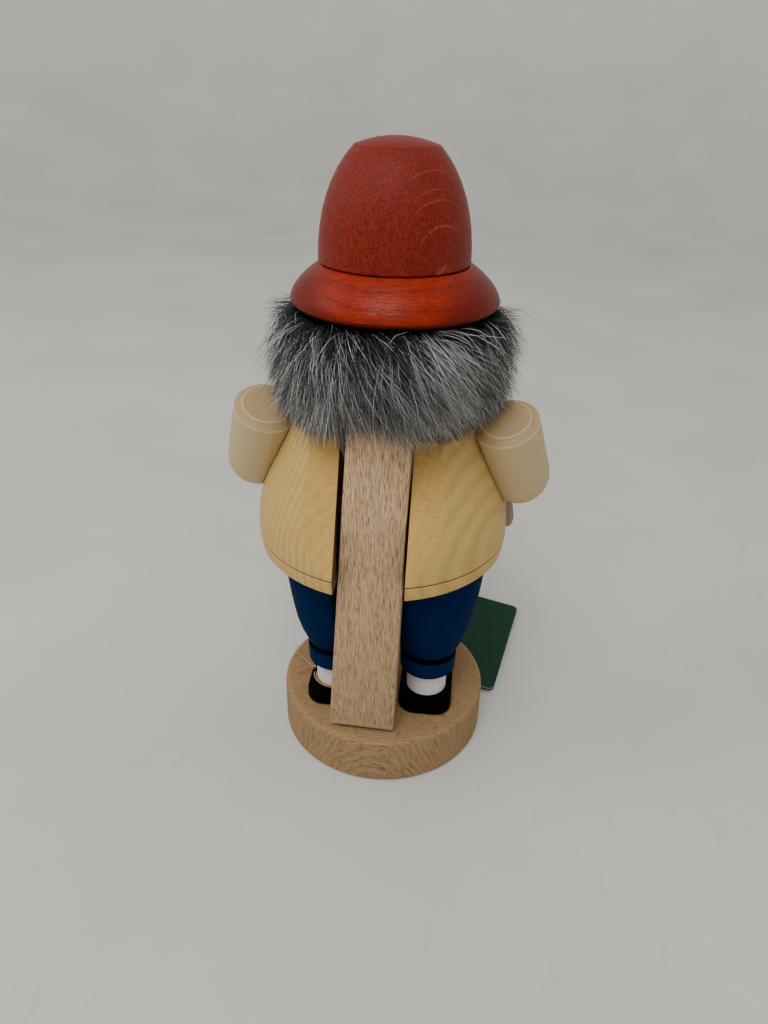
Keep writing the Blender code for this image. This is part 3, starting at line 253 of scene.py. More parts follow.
def wood(name, grain, pith, ring, colours, looks, shine):
    """Solid wood: rings round the pith, fibres and flecks along the grain, sizes in mm.

    The colours are those of early wood, late wood, end grain and flecks.
    """
    early, late, end, fleck = [linear(code) for code in colours]
    finish, shader = new_finish(
        name,
        shine["roughness"],
        Specular_IOR_Level=shine["gloss"],
        Coat_Weight=shine.get("coat", 0.0),
        Coat_Roughness=0.3,
    )
    turn = Vector(grain).rotation_difference(Vector((0.0, 0.0, 1.0))).to_matrix()
    spot = add(finish, "TexCoord", {})
    place = add(
        finish,
        "Mapping",
        {
            "Vector": spot.outputs["Object"],
            "Location": -(turn @ Vector(pith)),
            "Rotation": turn.to_euler(),
            "Scale": PER_METRE,
        },
    )

    # Rings of one year, swaying a little along the trunk
    sway = add(finish, "TexNoise", {"Vector": place, "Scale": 0.035, "Detail": 2.0})
    centred = add(
        finish,
        "VectorMath",
        {0: sway.outputs["Color"], 1: (0.5, 0.5, 0.5)},
        operation="SUBTRACT",
    )
    bent = add(
        finish,
        "VectorMath",
        {0: centred, 1: (looks["sway"],) * 3, 2: place},
        operation="MULTIPLY_ADD",
    )
    flat = add(finish, "VectorMath", {0: bent, 1: (1.0, 1.0, 0.0)}, operation="MULTIPLY")
    radius = add(finish, "VectorMath", {0: flat}, operation="LENGTH")
    years = add(finish, "Math", {0: radius.outputs["Value"], 1: ring}, operation="DIVIDE")
    year = add(finish, "Math", {0: years}, operation="FRACT")
    growth = add(
        finish,
        "ValToRGB",
        {"Fac": year},
        stops=[
            (0.0, grey(1.0)),
            (looks["soft"], grey(0.15)),
            (0.55, grey(0.0)),
            (1.0 - 1.4 * looks["soft"], grey(0.45)),
            (1.0, grey(1.0)),
        ],
    )
    rings = add(finish, "Mix", {MIX_FACTOR: growth, MIX_FIRST: early, MIX_SECOND: late}, data_type="RGBA")

    # Fibres, some tenths of a millimetre wide and many times as long
    fine = add(
        finish,
        "VectorMath",
        {0: place, 1: (1 / looks["grain_width"],) * 2 + (1 / looks["grain_length"],)},
        operation="MULTIPLY",
    )
    fibre = add(finish, "TexNoise", {"Vector": fine, "Scale": 1.0, "Detail": 3.0, "Roughness": 0.65})
    fibre_tone = add(
        finish,
        "ValToRGB",
        {"Fac": fibre},
        stops=[(0.3, grey(1.0 - looks["fibre"])), (0.7, grey(1.0))],
    )
    streaked = add(
        finish,
        "Mix",
        {MIX_FACTOR: 1.0, MIX_FIRST: rings.outputs[MIX_RESULT], MIX_SECOND: fibre_tone},
        data_type="RGBA",
        blend_type="MULTIPLY",
    )

    # Flecks, short dark dashes that end at a point
    dashes = add(
        finish,
        "VectorMath",
        {0: place, 1: (1 / looks["fleck_width"],) * 2 + (1 / looks["fleck_length"],)},
        operation="MULTIPLY",
    )
    dash = add(finish, "TexNoise", {"Vector": dashes, "Scale": 1.0, "Detail": 1.0})
    dash_mark = add(
        finish,
        "ValToRGB",
        {"Fac": dash},
        stops=[(looks["fleck_start"], grey(0.0)), (looks["fleck_start"] + 0.1, grey(looks["fleck"]))],
    )
    finish.node_tree.links.new(streaked.outputs[MIX_RESULT], shader.inputs["Base Color"])
    tint(finish, shader, dash_mark, fleck)

    # End grain, where the surface lies across the fibres, drinks in more and is darker
    facing = add(finish, "VectorMath", {0: spot.outputs["Normal"], 1: grain}, operation="DOT_PRODUCT")
    across = add(finish, "Math", {0: facing.outputs["Value"]}, operation="ABSOLUTE")
    end_most = add(
        finish,
        "MapRange",
        {
            "Value": across,
            "From Min": looks["end_from"],
            "From Max": looks["end_from"] + 0.25,
            "To Max": 2.0 * looks["end"],
        },
    )
    pores = add(finish, "TexNoise", {"Vector": place, "Scale": 1.6, "Detail": 4.0, "Roughness": 0.7})
    end_share = add(finish, "Math", {0: end_most, 1: pores}, operation="MULTIPLY")
    tint(finish, shader, end_share, end)

    # The fibres stand a few hundredths of a millimetre proud of the flecks
    relief = add(finish, "Math", {0: fibre, 1: dash_mark}, operation="SUBTRACT")
    bump = add(
        finish,
        "Bump",
        {"Height": relief, "Strength": shine["bump"], "Distance": shine.get("depth", 0.0001)},
    )
    finish.node_tree.links.new(bump.outputs["Normal"], shader.inputs["Normal"])
    return finish, shader, place, years


WELD_GAP = 0.000004
FLAT_ENOUGH = math.radians(0.3)
SHARP = math.radians(32.0)


def dressed(node, finish, edge=0.0):
    """Stand a smooth-shaded copy of a CAD node, with eased edges, in its place."""
    solid = bmesh.new()
    solid.from_mesh(frame["nodes"][node].data)
    bmesh.ops.remove_doubles(solid, verts=solid.verts, dist=WELD_GAP)
    bmesh.ops.dissolve_limit(solid, angle_limit=FLAT_ENOUGH, verts=solid.verts, edges=solid.edges)
    bmesh.ops.recalc_face_normals(solid, faces=solid.faces)
    piece = built(node + "_wood", solid, finish)
    if edge > 0.0:
        easing = piece.modifiers.new("eased_edges", "BEVEL")
        easing.width = edge
        easing.segments = 2
        easing.limit_method = "ANGLE"
        easing.angle_limit = SHARP
    piece.data.shade_smooth()
    piece.data.set_sharp_from_angle(angle=SHARP)
    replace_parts(piece, node)
    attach(piece, frame["nodes"][node]["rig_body"])
    return piece


BEECH_LOOKS = {
    "sway": 5.0,
    "soft": 0.1,
    "fibre": 0.24,
    "grain_width": 0.35,
    "grain_length": 7.0,
    "fleck": 0.75,
    "fleck_width": 0.55,
    "fleck_length": 4.5,
    "fleck_start": 0.6,
    "end": 0.55,
    "end_from": 0.72,
}
BARE = {"roughness": 0.65, "gloss": 0.2, "bump": 0.35}
foot_beech, foot_shader, foot_place, foot_years = wood(
    "bare_beech_across_the_foot",
    (1.0, 0.0, 0.0),
    (0.0, -115.0, 40.0),
    1.1,
    ("#a78862", "#987751", "#8d6e48", "#694c32"),
    {
        **BEECH_LOOKS,
        "sway": 3.0,
        "soft": 0.2,
        "fleck": 0.45,
        "fleck_width": 0.3,
        "fleck_length": 2.6,
        "end": 0.4,
    },
    BARE,
)

# Dark dashes lie along the rings, wide where the edge cuts the rings at a slant
foot_lengths = add(foot_beech, "SeparateXYZ", {0: foot_place})
foot_layers = add(foot_beech, "CombineXYZ", {"X": foot_years, "Y": foot_lengths.outputs["Z"]})
DASHES_PER_RING_AND_MM = (5.0, 0.33, 1.0)
foot_fine = add(foot_beech, "VectorMath", {0: foot_layers, 1: DASHES_PER_RING_AND_MM}, operation="MULTIPLY")
foot_dashes = add(foot_beech, "TexNoise", {"Vector": foot_fine, "Scale": 1.0, "Detail": 1.0})
foot_dark = add(
    foot_beech,
    "MapRange",
    {"Value": foot_dashes, "From Min": 0.55, "From Max": 0.68, "To Max": 0.8},
)
tint(foot_beech, foot_shader, foot_dark, linear("#6b4d31"))
dressed("base", foot_beech)


# Shoes: sawn from thin board, glued to the foot and brushed with black paint, which
# soaks in and leaves hardly any shine.
shoe_paint, shoe_shader = new_finish("black_brushed_paint", 0.6, Specular_IOR_Level=0.03)
shoe_tones = [(0.3, linear("#010101")), (0.75, linear("#040404"))]
_, shoe_cloud = mottled(shoe_paint, shoe_shader, 160.0, 4.0, shoe_tones)
shoe_bump = add(shoe_paint, "Bump", {"Height": shoe_cloud, "Strength": 0.15, "Distance": 0.0002})
shoe_paint.node_tree.links.new(shoe_bump.outputs["Normal"], shoe_shader.inputs["Normal"])
for side in ("left", "right"):
    dressed("shoe_" + side, shoe_paint, 0.00035)


# Socks: short rounds of pale wood that stand on the shoes round the leg dowels, with
# one thin coat of white that lets the grain through.
sock_paint, *_ = wood(
    "thin_white_paint_on_round",
    (0.0, 0.0, 1.0),
    (6.0, 40.0, 0.0),
    3.0,
    ("#e3e0dc", "#dedad5", "#d5d1cb", "#cbc5bd"),
    {**BEECH_LOOKS, "fibre": 0.05, "fleck": 0.15, "end": 0.2},
    {"roughness": 0.6, "gloss": 0.2, "bump": 0.1},
)
for side in ("left", "right"):
    dressed("sock_" + side, sock_paint, 0.0002)


# Trouser legs: turned, with a scored cuff, dowelled to the foot and brushed with matt
# navy paint, thin enough to show the grain. The groove is painted nearly black, as painted shade in the
# deep cut.
navy_paint, navy_shader, navy_place, _ = wood(
    "matt_navy_paint_on_turned_wood",
    (0.0, 0.0, 1.0),
    (0.0, 70.0, 0.0),
    4.0,
    ("#01204a", "#011d45", "#01173a", "#01122c"),
    {**BEECH_LOOKS, "fibre": 0.2, "fleck": 0.3, "fleck_start": 0.62, "end": 0.5},
    {"roughness": 0.7, "gloss": 0.03, "bump": 0.25},
)
CUFF_GROOVE_Z = 49.0
CUFF_GROOVE_HALF = 1.5
CUFF_RADIUS = 0.010
LEG_Y = 0.012

# Rings of the turned leg by their height in mm, their new height and the cut inwards
LEG_RING_REACH = 0.15
LEG_RINGS = (
    (47.1, 47.6, 1.3),
    (47.7, 48.6, 2.5),
    (48.3, 50.5, 1.5),
    (55.8, 56.2, 0.7),
    (62.9, 62.9, 0.1),
)
navy_spot = add(navy_paint, "SeparateXYZ", {0: navy_place})
# Painted shade: the band of the cuff's groove is tinted nearly black
groove_painted_shade = add(
    navy_paint,
    "Math",
    {0: navy_spot.outputs["Z"], 1: CUFF_GROOVE_Z, 2: CUFF_GROOVE_HALF},
    operation="COMPARE",
)
tint(navy_paint, navy_shader, groove_painted_shade, linear("#010308"))
for side, leg_x in (("left", 0.02), ("right", -0.02)):
    leg = dressed("trouser_leg_" + side, navy_paint, 0.0002)

    # The real groove is a deep wide cut, and the leg rounds in to it
    for point in leg.data.vertices:
        out = Vector((point.co.x - leg_x, point.co.y - LEG_Y, 0.0))
        for ring_z, new_z, cut in LEG_RINGS:
            if abs(point.co.z * 1000 - ring_z) < LEG_RING_REACH and out.length > CUFF_RADIUS:
                point.co -= out.normalized() * cut / 1000
                point.co.z = new_z / 1000
                break


# Jacket: turned from pale wood with the grain upright and lacquered satin, then sawn
# flat behind for the lever. A burnt line runs round above the hem.
jacket, jacket_shader, *_ = wood(
    "satin_lacquered_maple_jacket",
    (0.0, 0.0, 1.0),
    (51.0, -21.0, 0.0),
    2.9,
    ("#d2ae69", "#c29f5d", "#bb904a", "#a88348"),
    {**BEECH_LOOKS, "sway": 4.0, "soft": 0.24, "fibre": 0.16, "fleck": 0.2, "fleck_width": 0.3, "end": 0.4},
    {"roughness": 0.5, "gloss": 0.15, "coat": 0.03, "bump": 0.15},
)
HEM_LINE_Z = 101.9
HEM_LINE_HALF = 0.25
FLAT_FACING = (0.0, 0.91866, 0.39502)
FLAT_REACH = 84.614
FLAT_HALF = 0.12
SAW_MARK_LENGTH = 2.6
SAW_MARK_WIDTH = 0.55
jacket_spot = add(
    jacket,
    "VectorMath",
    {0: add(jacket, "TexCoord", {}).outputs["Object"], 1: PER_METRE},
    operation="MULTIPLY",
)
out_along = add(jacket, "VectorMath", {0: jacket_spot, 1: FLAT_FACING}, operation="DOT_PRODUCT")
on_flat = add(
    jacket,
    "Math",
    {0: out_along.outputs["Value"], 1: FLAT_REACH, 2: FLAT_HALF},
    operation="COMPARE",
)
flat_share = add(jacket, "Math", {0: on_flat, 1: 0.6}, operation="MULTIPLY")
saw_place = add(
    jacket,
    "VectorMath",
    {0: jacket_spot, 1: (1 / SAW_MARK_LENGTH, 1 / SAW_MARK_LENGTH, 1 / SAW_MARK_WIDTH)},
    operation="MULTIPLY",
)
saw_marks = add(jacket, "TexNoise", {"Vector": saw_place, "Scale": 1.0, "Detail": 4.0, "Roughness": 0.7})
saw_tone = add(
    jacket,
    "ValToRGB",
    {"Fac": saw_marks},
    stops=[(0.3, linear("#b98840")), (0.68, linear("#deb062"))],
)
tint(jacket, jacket_shader, flat_share, saw_tone)
jacket_heights = add(jacket, "SeparateXYZ", {0: jacket_spot})
on_hem_line = add(
    jacket,
    "Math",
    {0: jacket_heights.outputs["Z"], 1: HEM_LINE_Z, 2: HEM_LINE_HALF},
    operation="COMPARE",
)
tint(jacket, jacket_shader, on_hem_line, linear("#6e4a28"))

# The slot for the lever was sawn after lacquering; inside it, painted shade makes the walls nearly black
SLOT_CENTRE_X = 2.03
SLOT_HALF_WIDTH = 13.26
SLOT_FRONT_Y = 5.0
in_slot = add(
    jacket,
    "Math",
    {0: jacket_heights.outputs["X"], 1: SLOT_CENTRE_X, 2: SLOT_HALF_WIDTH},
    operation="COMPARE",
)
behind = add(jacket, "Math", {0: jacket_heights.outputs["Y"], 1: SLOT_FRONT_Y}, operation="GREATER_THAN")
slot_shade_area = add(jacket, "Math", {0: in_slot, 1: behind}, operation="MULTIPLY")
slot_painted_shade = add(jacket, "Math", {0: slot_shade_area, 1: 0.85}, operation="MULTIPLY")
tint(jacket, jacket_shader, slot_painted_shade, linear("#1c1209"))
dressed("jacket", jacket, 0.00025)


# Arms: turned from the same pale wood, each grained along its own length, and dowelled
# to the jacket. Pale rings are painted on the top face where its edges turn, and its end grain is darker.
ARM_LOOKS = {
    **BEECH_LOOKS,
    "sway": 3.0,
    "fibre": 0.14,
    "fleck": 0.25,
    "fleck_width": 0.3,
    "fleck_length": 2.5,
    "end": 0.8,
    "end_from": 0.45,
}
ARM_LACQUER = {"roughness": 0.5, "gloss": 0.25, "bump": 0.2}
ARM_SIDE_LEAN = math.radians(14.9)
ARM_FORWARD_LEAN = math.radians(23.0)
ARM_PAIR_X = 1.4
ARM_TOP_X = 43.9
ARM_TOP_Y = 11.9
ARM_TOP_Z = 154.4
ARM_FACE_RADIUS = 9.0
ARM_RADIUS = 12.1
ARM_RING_HALF = 0.25
ARM_TOP_DEPTH = -2.6
for side, sign in (("left", 1.0), ("right", -1.0)):
    arm_up = (
        -sign * math.sin(ARM_SIDE_LEAN),
        math.sin(ARM_FORWARD_LEAN) * math.cos(ARM_SIDE_LEAN),
        math.cos(ARM_FORWARD_LEAN) * math.cos(ARM_SIDE_LEAN),
    )
    arm_maple, arm_shader, arm_place, _ = wood(
        "satin_maple_arm_" + side,
        arm_up,
        (ARM_PAIR_X + sign * ARM_TOP_X, ARM_TOP_Y, ARM_TOP_Z),
        5.0,
        ("#cab387", "#bfa678", "#a68a63", "#9c7d53"),
        ARM_LOOKS,
        ARM_LACQUER,
    )
    arm_flat = add(arm_maple, "VectorMath", {0: arm_place, 1: (1.0, 1.0, 0.0)}, operation="MULTIPLY")
    arm_radius = add(arm_maple, "VectorMath", {0: arm_flat}, operation="LENGTH")
    arm_heights = add(arm_maple, "SeparateXYZ", {0: arm_place})
    near_top = add(
        arm_maple,
        "Math",
        {0: arm_heights.outputs["Z"], 1: ARM_TOP_DEPTH},
        operation="GREATER_THAN",
    )
    for ring_radius in (ARM_FACE_RADIUS, ARM_RADIUS):
        at_ring = add(
            arm_maple,
            "Math",
            {0: arm_radius.outputs["Value"], 1: ring_radius, 2: ARM_RING_HALF},
            operation="COMPARE",
        )
        ring_share = add(arm_maple, "Math", {0: at_ring, 1: near_top}, operation="MULTIPLY")
        faint = add(arm_maple, "Math", {0: ring_share, 1: 0.38}, operation="MULTIPLY")
        tint(arm_maple, arm_shader, faint, linear("#e2d4b4"))
    dressed("upper_arm_" + side, arm_maple, 0.00025)
    dressed("forearm_" + side, arm_maple, 0.0002)
    dressed("hand_" + side, arm_maple, 0.0002)


# Lever and lower jaw: one board of bare sanded beech that hangs on the pivot pin, with
# the grain upright, dark flecks all over and a paler end where the saw roughened it.
lever_beech, lever_shader, lever_place, _ = wood(
    "bare_beech_lever",
    (0.0, 0.0, 1.0),
    (14.0, 160.0, 0.0),
    9.0,
    ("#efc89b", "#e2ba8d", "#b08d6b", "#7d5b42"),
    {
        **BEECH_LOOKS,
        "soft": 0.2,
        "fibre": 0.6,
        "grain_width": 0.3,
        "grain_length": 5.0,
        "fleck": 0.9,
        "fleck_width": 0.22,
        "fleck_length": 4.4,
        "fleck_start": 0.56,
    },
    BARE,
)
lever_heights = add(lever_beech, "SeparateXYZ", {0: lever_place})
ROUGH_FROM = 27.5
ROUGH_TO = 25.0
rough_end = add(
    lever_beech,
    "MapRange",
    {"Value": lever_heights.outputs["Z"], "From Min": ROUGH_FROM, "From Max": ROUGH_TO, "To Max": 0.55},
)
tint(lever_beech, lever_shader, rough_end, linear("#cdb091"))

# Its lower half is painted a little darker towards the foot: painted shade, as the light falls off lower
# down
LEVER_SHADE_FROM = 140.0
LEVER_SHADE_TO = 30.0
lever_painted_shade = add(
    lever_beech,
    "MapRange",
    {"Value": lever_heights.outputs["Z"], "From Min": LEVER_SHADE_FROM, "From Max": LEVER_SHADE_TO, "To Max": 0.34},
)
tint(lever_beech, lever_shader, lever_painted_shade, linear("#76573f"))
dressed("lever", lever_beech)


# Staff, pivot pin and dowels: plain beech rod, the pin and dowels set in drilled holes.
# The staff is held in the right hand, lightly stained and flared at its cut foot.
staff_beech, *_ = wood(
    "brown_stained_beech_staff",
    (0.0, 0.0, 1.0),
    (-50.0, -20.0, 0.0),
    4.0,
    ("#a98d7a", "#987c69", "#80685a", "#6a5446"),
    BEECH_LOOKS,
    {"roughness": 0.5, "gloss": 0.25, "bump": 0.2},
)
staff = dressed("staff", staff_beech, 0.0002)
STAFF_AXIS = Vector((-50.1, -45.5, 0.0)) / 1000
STAFF_RING_REACH = 0.3
STAFF_RINGS = ((84.7, 4.2), (86.1, 4.0), (88.0, 3.6), (90.5, 3.2))
for point in staff.data.vertices:
    out = Vector((point.co.x, point.co.y, 0.0)) - STAFF_AXIS
    for ring_z, radius in STAFF_RINGS:
        if abs(point.co.z * 1000 - ring_z) < STAFF_RING_REACH:
            point.co += out.normalized() * (radius / 1000 - out.length)
rod_beech, *_ = wood(
    "planed_beech_rod",
    (1.0, 0.0, 0.0),
    (0.0, 30.0, 150.0),
    4.0,
    ("#c0a27f", "#b28f69", "#a08260", "#7d5c45"),
    BEECH_LOOKS,
    BARE,
)
dressed("pivot_pin", rod_beech)
for hidden in ("leg_dowel_left", "leg_dowel_right", "arm_dowel_left", "arm_dowel_right", "hat_dowel"):
    finishes = frame["nodes"][hidden].data.materials
    finishes.clear()
    finishes.append(rod_beech)


# Head and nose: turned from the same pale wood as the arms and lacquered. Hair and hat
# hide most of the head, and the ball of the nose is glued in by its peg.
head_maple, *_ = wood(
    "satin_maple_head",
    (0.0, 0.0, 1.0),
    (10.0, 40.0, 0.0),
    5.0,
    ("#d8c096", "#cbb083", "#b5966a", "#a98c62"),
    ARM_LOOKS,
    ARM_LACQUER,
)
dressed("head", head_maple, 0.0003)
dressed("nose", head_maple)


# Pile: the strip of grey imitation fur glued round the head under the brim. It is a
# dark woven backing set with fibres that are near black at the root and silver at
# the tip. The real ones are finer and more, so these are drawn 0.22 mm thick.
STRAND_STEPS = 4
STRAND_HALF = 0.00011


def strand():
    """One straight strand, three-sided and pointed, one unit long: its points and faces."""
    blade = bmesh.new()
    bmesh.ops.create_cone(blade, cap_ends=True, segments=3, radius1=1.0, radius2=0.2, depth=1.0)
    bmesh.ops.translate(blade, verts=blade.verts, vec=(0.0, 0.0, 0.5))
    for i in range(1, STRAND_STEPS):
        bmesh.ops.bisect_plane(
            blade,
            geom=blade.verts[:] + blade.edges[:] + blade.faces[:],
            plane_co=(0.0, 0.0, i / STRAND_STEPS),
            plane_no=(0.0, 0.0, 1.0),
        )
    blade.verts.index_update()
    points = np.array([v.co for v in blade.verts])
    faces = [[v.index for v in face.verts] for face in blade.faces]
    blade.free()
    return points, faces


def unit(rows):
    """Rows of vectors, each made one long."""
    return rows / np.linalg.norm(rows, axis=1, keepdims=True)


def grown(roots, out, side, lengths, lift, sweep, droop, spread, clumping, draw):
    """Centre lines of strands that leave a skin, hang over and gather in locks.

    The second result is the leading strand of each one's lock.
    """
    count = len(roots)
    down = np.array((0.0, 0.0, -1.0))
    stray = draw.normal(0.0, spread, (count, 3))
    first = unit(out - np.outer(lift, down) + side * (0.5 * sweep)[:, None] + stray)
    wander = draw.normal(0.0, 0.4 * spread, (count, 3))
    last = unit(down + 0.27 * out + side * sweep[:, None] + 0.8 * stray + wander)
    lines = [roots]
    for i in range(STRAND_STEPS):
        share = np.clip((i + 0.5) / STRAND_STEPS * droop, 0.0, 1.0)[:, None]
        share = share * share * (3.0 - 2.0 * share)
        heading = unit((1.0 - share) * first + share * last)
        lines.append(lines[-1] + heading * (lengths / STRAND_STEPS)[:, None])
    lines = np.stack(lines, axis=1)
    leaders = draw.choice(count, max(2, count // 12), replace=False)
    leader = np.empty(count, int)
    for i in range(0, count, 1000):
        gap = np.linalg.norm(roots[i:i + 1000, None, :] - roots[None, leaders, :], axis=2)
        leader[i:i + 1000] = leaders[gap.argmin(axis=1)]
    offset = (roots - roots[leader])[:, None, :] * 0.6
    pull = clumping * np.linspace(0.0, 1.0, STRAND_STEPS + 1)[None, :, None] ** 1.5
    return lines * (1.0 - pull) + (lines[leader] + offset) * pull, leader


def pile(name, lines, out, shade, body):
    """Bend a copy of the strand along each centre line and make the lot one piece."""
    points, faces = strand()
    count = len(lines)
    step = np.rint(points[:, 2] * STRAND_STEPS).astype(int)
    ahead = lines[:, np.minimum(step + 1, STRAND_STEPS)] - lines[:, np.maximum(step - 1, 0)]
    ahead = ahead / np.linalg.norm(ahead, axis=2, keepdims=True)
    across = np.cross(ahead, out[:, None, :])
    across = across / np.maximum(np.linalg.norm(across, axis=2, keepdims=True), 1e-6)
    beyond = np.cross(across, ahead)
    spread = points[None, :, 0:1] * across + points[None, :, 1:2] * beyond
    places = lines[:, step] + STRAND_HALF * spread
    mesh = bpy.data.meshes.new(name)
    every = [[i + n * len(points) for i in face] for n in range(count) for face in faces]
    mesh.from_pydata(places.reshape(-1, 3).tolist(), [], every)
    mesh.update()
    along = mesh.attributes.new("along", "FLOAT", "POINT")
    along.data.foreach_set("value", np.tile(points[:, 2], count).astype(np.float32))
    tone = mesh.attributes.new("shade", "FLOAT", "POINT")
    tone.data.foreach_set("value", np.repeat(shade, len(points)).astype(np.float32))
    mesh.shade_smooth()
    mesh.materials.append(fur)
    piece = placed(name, mesh)
    if body:
        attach(piece, body)
    return piece


fur, fur_shader = new_finish("grey_acrylic_pile", 0.5, Specular_IOR_Level=0.3)
fur_along = add(fur, "Attribute", {}, attribute_name="along")
fur_shade = add(fur, "Attribute", {}, attribute_name="shade")
fur_tip = add(
    fur,
    "ValToRGB",
    {"Fac": fur_shade.outputs["Fac"]},
    stops=[
        (0.0, linear("#08090a")),
        (0.35, linear("#484b50")),
        (0.7, linear("#d2d6da")),
        (1.0, linear("#ffffff")),
    ],
)
fur_reach = add(
    fur,
    "ValToRGB",
    {"Fac": fur_along.outputs["Fac"]},
    stops=[(0.12, grey(0.0)), (0.62, grey(1.0))],
)
fur_colour = add(
    fur,
    "Mix",
    {MIX_FACTOR: fur_reach, MIX_FIRST: linear("#0f1012"), MIX_SECOND: fur_tip},
    data_type="RGBA",
)
fur.node_tree.links.new(fur_colour.outputs[MIX_RESULT], fur_shader.inputs["Base Color"])

# The very ends are a little brown
fur_end = add(
    fur,
    "MapRange",
    {"Value": fur_along.outputs["Fac"], "From Min": 0.7, "From Max": 1.0, "To Max": 0.4},
)
tint(fur, fur_shader, fur_end, linear("#a1958a"))

backing, backing_shader = new_finish("black_woven_backing", 0.95)
weave_tones = [(0.3, linear("#08090a")), (0.7, linear("#151618"))]
mottled(backing, backing_shader, 1500.0, 2.0, weave_tones)

SKIN_INNER = 0.0285
SKIN_OUTER = 0.0315
SKIN_TOP = 0.1909
SKIN_FLOOR = 0.1640
KNEE_TOP = 0.1755
KNEE_HALF_ANGLE = math.radians(27.0)
FACE_HALF_ANGLE = math.radians(58.0)
CLOTH_SHORTER = 0.09
KNEE_BACK_Y = 0.0387
KNEE_HEIGHT = 0.1645
KNEE_HALF_WIDTH = 0.0135
CLOTH_STEP = 0.12


def band(name, floor_z, top_z, start, end):
    """A strip of backing round the head between two angles from straight behind."""
    cloth = bmesh.new()
    corners = [(SKIN_INNER, floor_z), (SKIN_OUTER, floor_z), (SKIN_OUTER, top_z), (SKIN_INNER, top_z)]
    ring = [cloth.verts.new((-r * math.sin(start), r * math.cos(start), z)) for r, z in corners]
    end_face = cloth.faces.new(ring)
    bmesh.ops.spin(
        cloth,
        geom=[end_face],
        axis=(0.0, 0.0, 1.0),
        angle=end - start,
        steps=max(4, round((end - start) / CLOTH_STEP)),
    )
    bmesh.ops.recalc_face_normals(cloth, faces=cloth.faces)
    piece = built(name, cloth, backing)
    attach(piece, "figure")
    return piece


round_end = math.pi - FACE_HALF_ANGLE
cloth_end = round_end - CLOTH_SHORTER
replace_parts(band("hair_backing", KNEE_TOP, SKIN_TOP, -cloth_end, cloth_end), "hair")
band("hair_backing_right", SKIN_FLOOR, KNEE_TOP, KNEE_HALF_ANGLE, cloth_end)
band("hair_backing_left", SKIN_FLOOR, KNEE_TOP, -cloth_end, -KNEE_HALF_ANGLE)


def bell(values, centre, width):
    """A smooth hump of height one."""
    return np.exp(-(((values - centre) / width) ** 2))


def hair(name, start, end, count, seed, body="figure"):
    """The hair between two angles from straight behind, positive to the figure's right."""
    draw = np.random.default_rng(seed)
    angle = draw.uniform(start, end, count)
    floor_z = np.where(np.abs(angle) < KNEE_HALF_ANGLE, KNEE_TOP, SKIN_FLOOR)
    height = floor_z + (SKIN_TOP - 0.0004 - floor_z) * draw.uniform(0.0, 1.0, count) ** 0.9
    out = np.stack([-np.sin(angle), np.cos(angle), np.zeros(count)], axis=1)
    side = np.stack([-np.cos(angle), -np.sin(angle), np.zeros(count)], axis=1)
    roots = out * SKIN_OUTER
    roots[:, 2] = height
    share = (height - SKIN_FLOOR) / (SKIN_TOP - SKIN_FLOOR)

    # Longest straight behind, and every strand has a length of its own
    lengths = 0.0170 + 0.0075 * share + 0.0080 * bell(angle, 0.0, 0.52) - 0.0045 * bell(angle, 0.85, 0.42)
    lengths = lengths - 0.0045 * share * bell(np.abs(angle), 1.4, 0.45)
    lengths = lengths * (0.55 + 0.92 * draw.beta(1.6, 2.7, count))

    # Swept to one side across the back, and forwards beside the face
    sweep = bell(angle, -0.12, 0.46) + 0.4 * bell(angle, 0.55, 0.3)
    sweep = sweep * draw.uniform(0.1, 1.6, count)
    sweep += 0.5 * bell(angle, 2.1, 0.3) - 0.5 * bell(angle, -2.1, 0.3)
    lift = -0.6 + 0.05 * share + 0.14 * draw.standard_normal(count)
    droop = 1.35 + 0.3 * draw.standard_normal(count) - 0.65 * (1.0 - share) * bell(np.abs(angle), 1.5, 0.6)
    lines, lock = grown(roots, out, side, lengths, lift, sweep, droop, 0.34, 0.36, draw)
    reach_back = np.maximum(lines[:, :, 1].max(axis=1) - roots[:, 1], 0.0001)
    shrink = np.minimum((HAIR_BACK_LIMIT - roots[:, 1]) / reach_back, 1.0)
    lines = roots[:, None, :] + (lines - roots[:, None, :]) * shrink[:, None, None]

    # Silver and dark locks, darker higher up and towards the middle and sides; painted shade darkens them
    # under the brim, and a painted highlight makes a pale streak right of the middle
    shade = 0.5 + 0.22 * draw.standard_normal(count) + 0.3 * draw.standard_normal(count)[lock] - 0.1 * share
    shade -= 0.09 * bell(angle, -0.08, 0.34) * share + 0.2 * bell(share, 1.0, 0.07)
    shade -= 0.07 * bell(angle, -1.1, 0.45) + 0.15 * bell(angle, 1.0, 0.4)
    shade += 0.8 * bell(angle, 0.37, 0.15) * bell(share, 0.8, 0.45) * draw.uniform(0.4, 1.2, count)
    shade += 0.35 * (draw.uniform(0.0, 1.0, count) < 0.15)
    shade -= 0.7 * (draw.uniform(0.0, 1.0, count) < 0.42)

    # Keep clear of the lever, which comes back as the mouth opens, and of the brim
    if body:
        away = np.sign(out[:, :1])
        lines[:, :, 0] = away * np.maximum(away * lines[:, :, 0], KNEE_HALF_WIDTH + 0.0014)
    low = (lines[:, :, 2] < KNEE_HEIGHT) & (np.abs(lines[:, :, 0]) < KNEE_HALF_WIDTH)
    clear_y = KNEE_BACK_Y + 0.0006 + 0.0025 * draw.uniform(0.0, 1.0, (count, 1))
    lines[:, :, 1] = np.where(low & (lines[:, :, 1] < clear_y), clear_y, lines[:, :, 1])
    reach = np.hypot(lines[:, :, 0], lines[:, :, 1])
    ceiling = BRIM_UNDERSIDE + 0.002 * np.clip((reach - BRIM_REACH) / 0.004, 0.0, 1.0)
    lines[:, :, 2] = np.minimum(lines[:, :, 2], ceiling)
    return pile(name, lines, out, np.clip(shade, 0.0, 1.0), body)


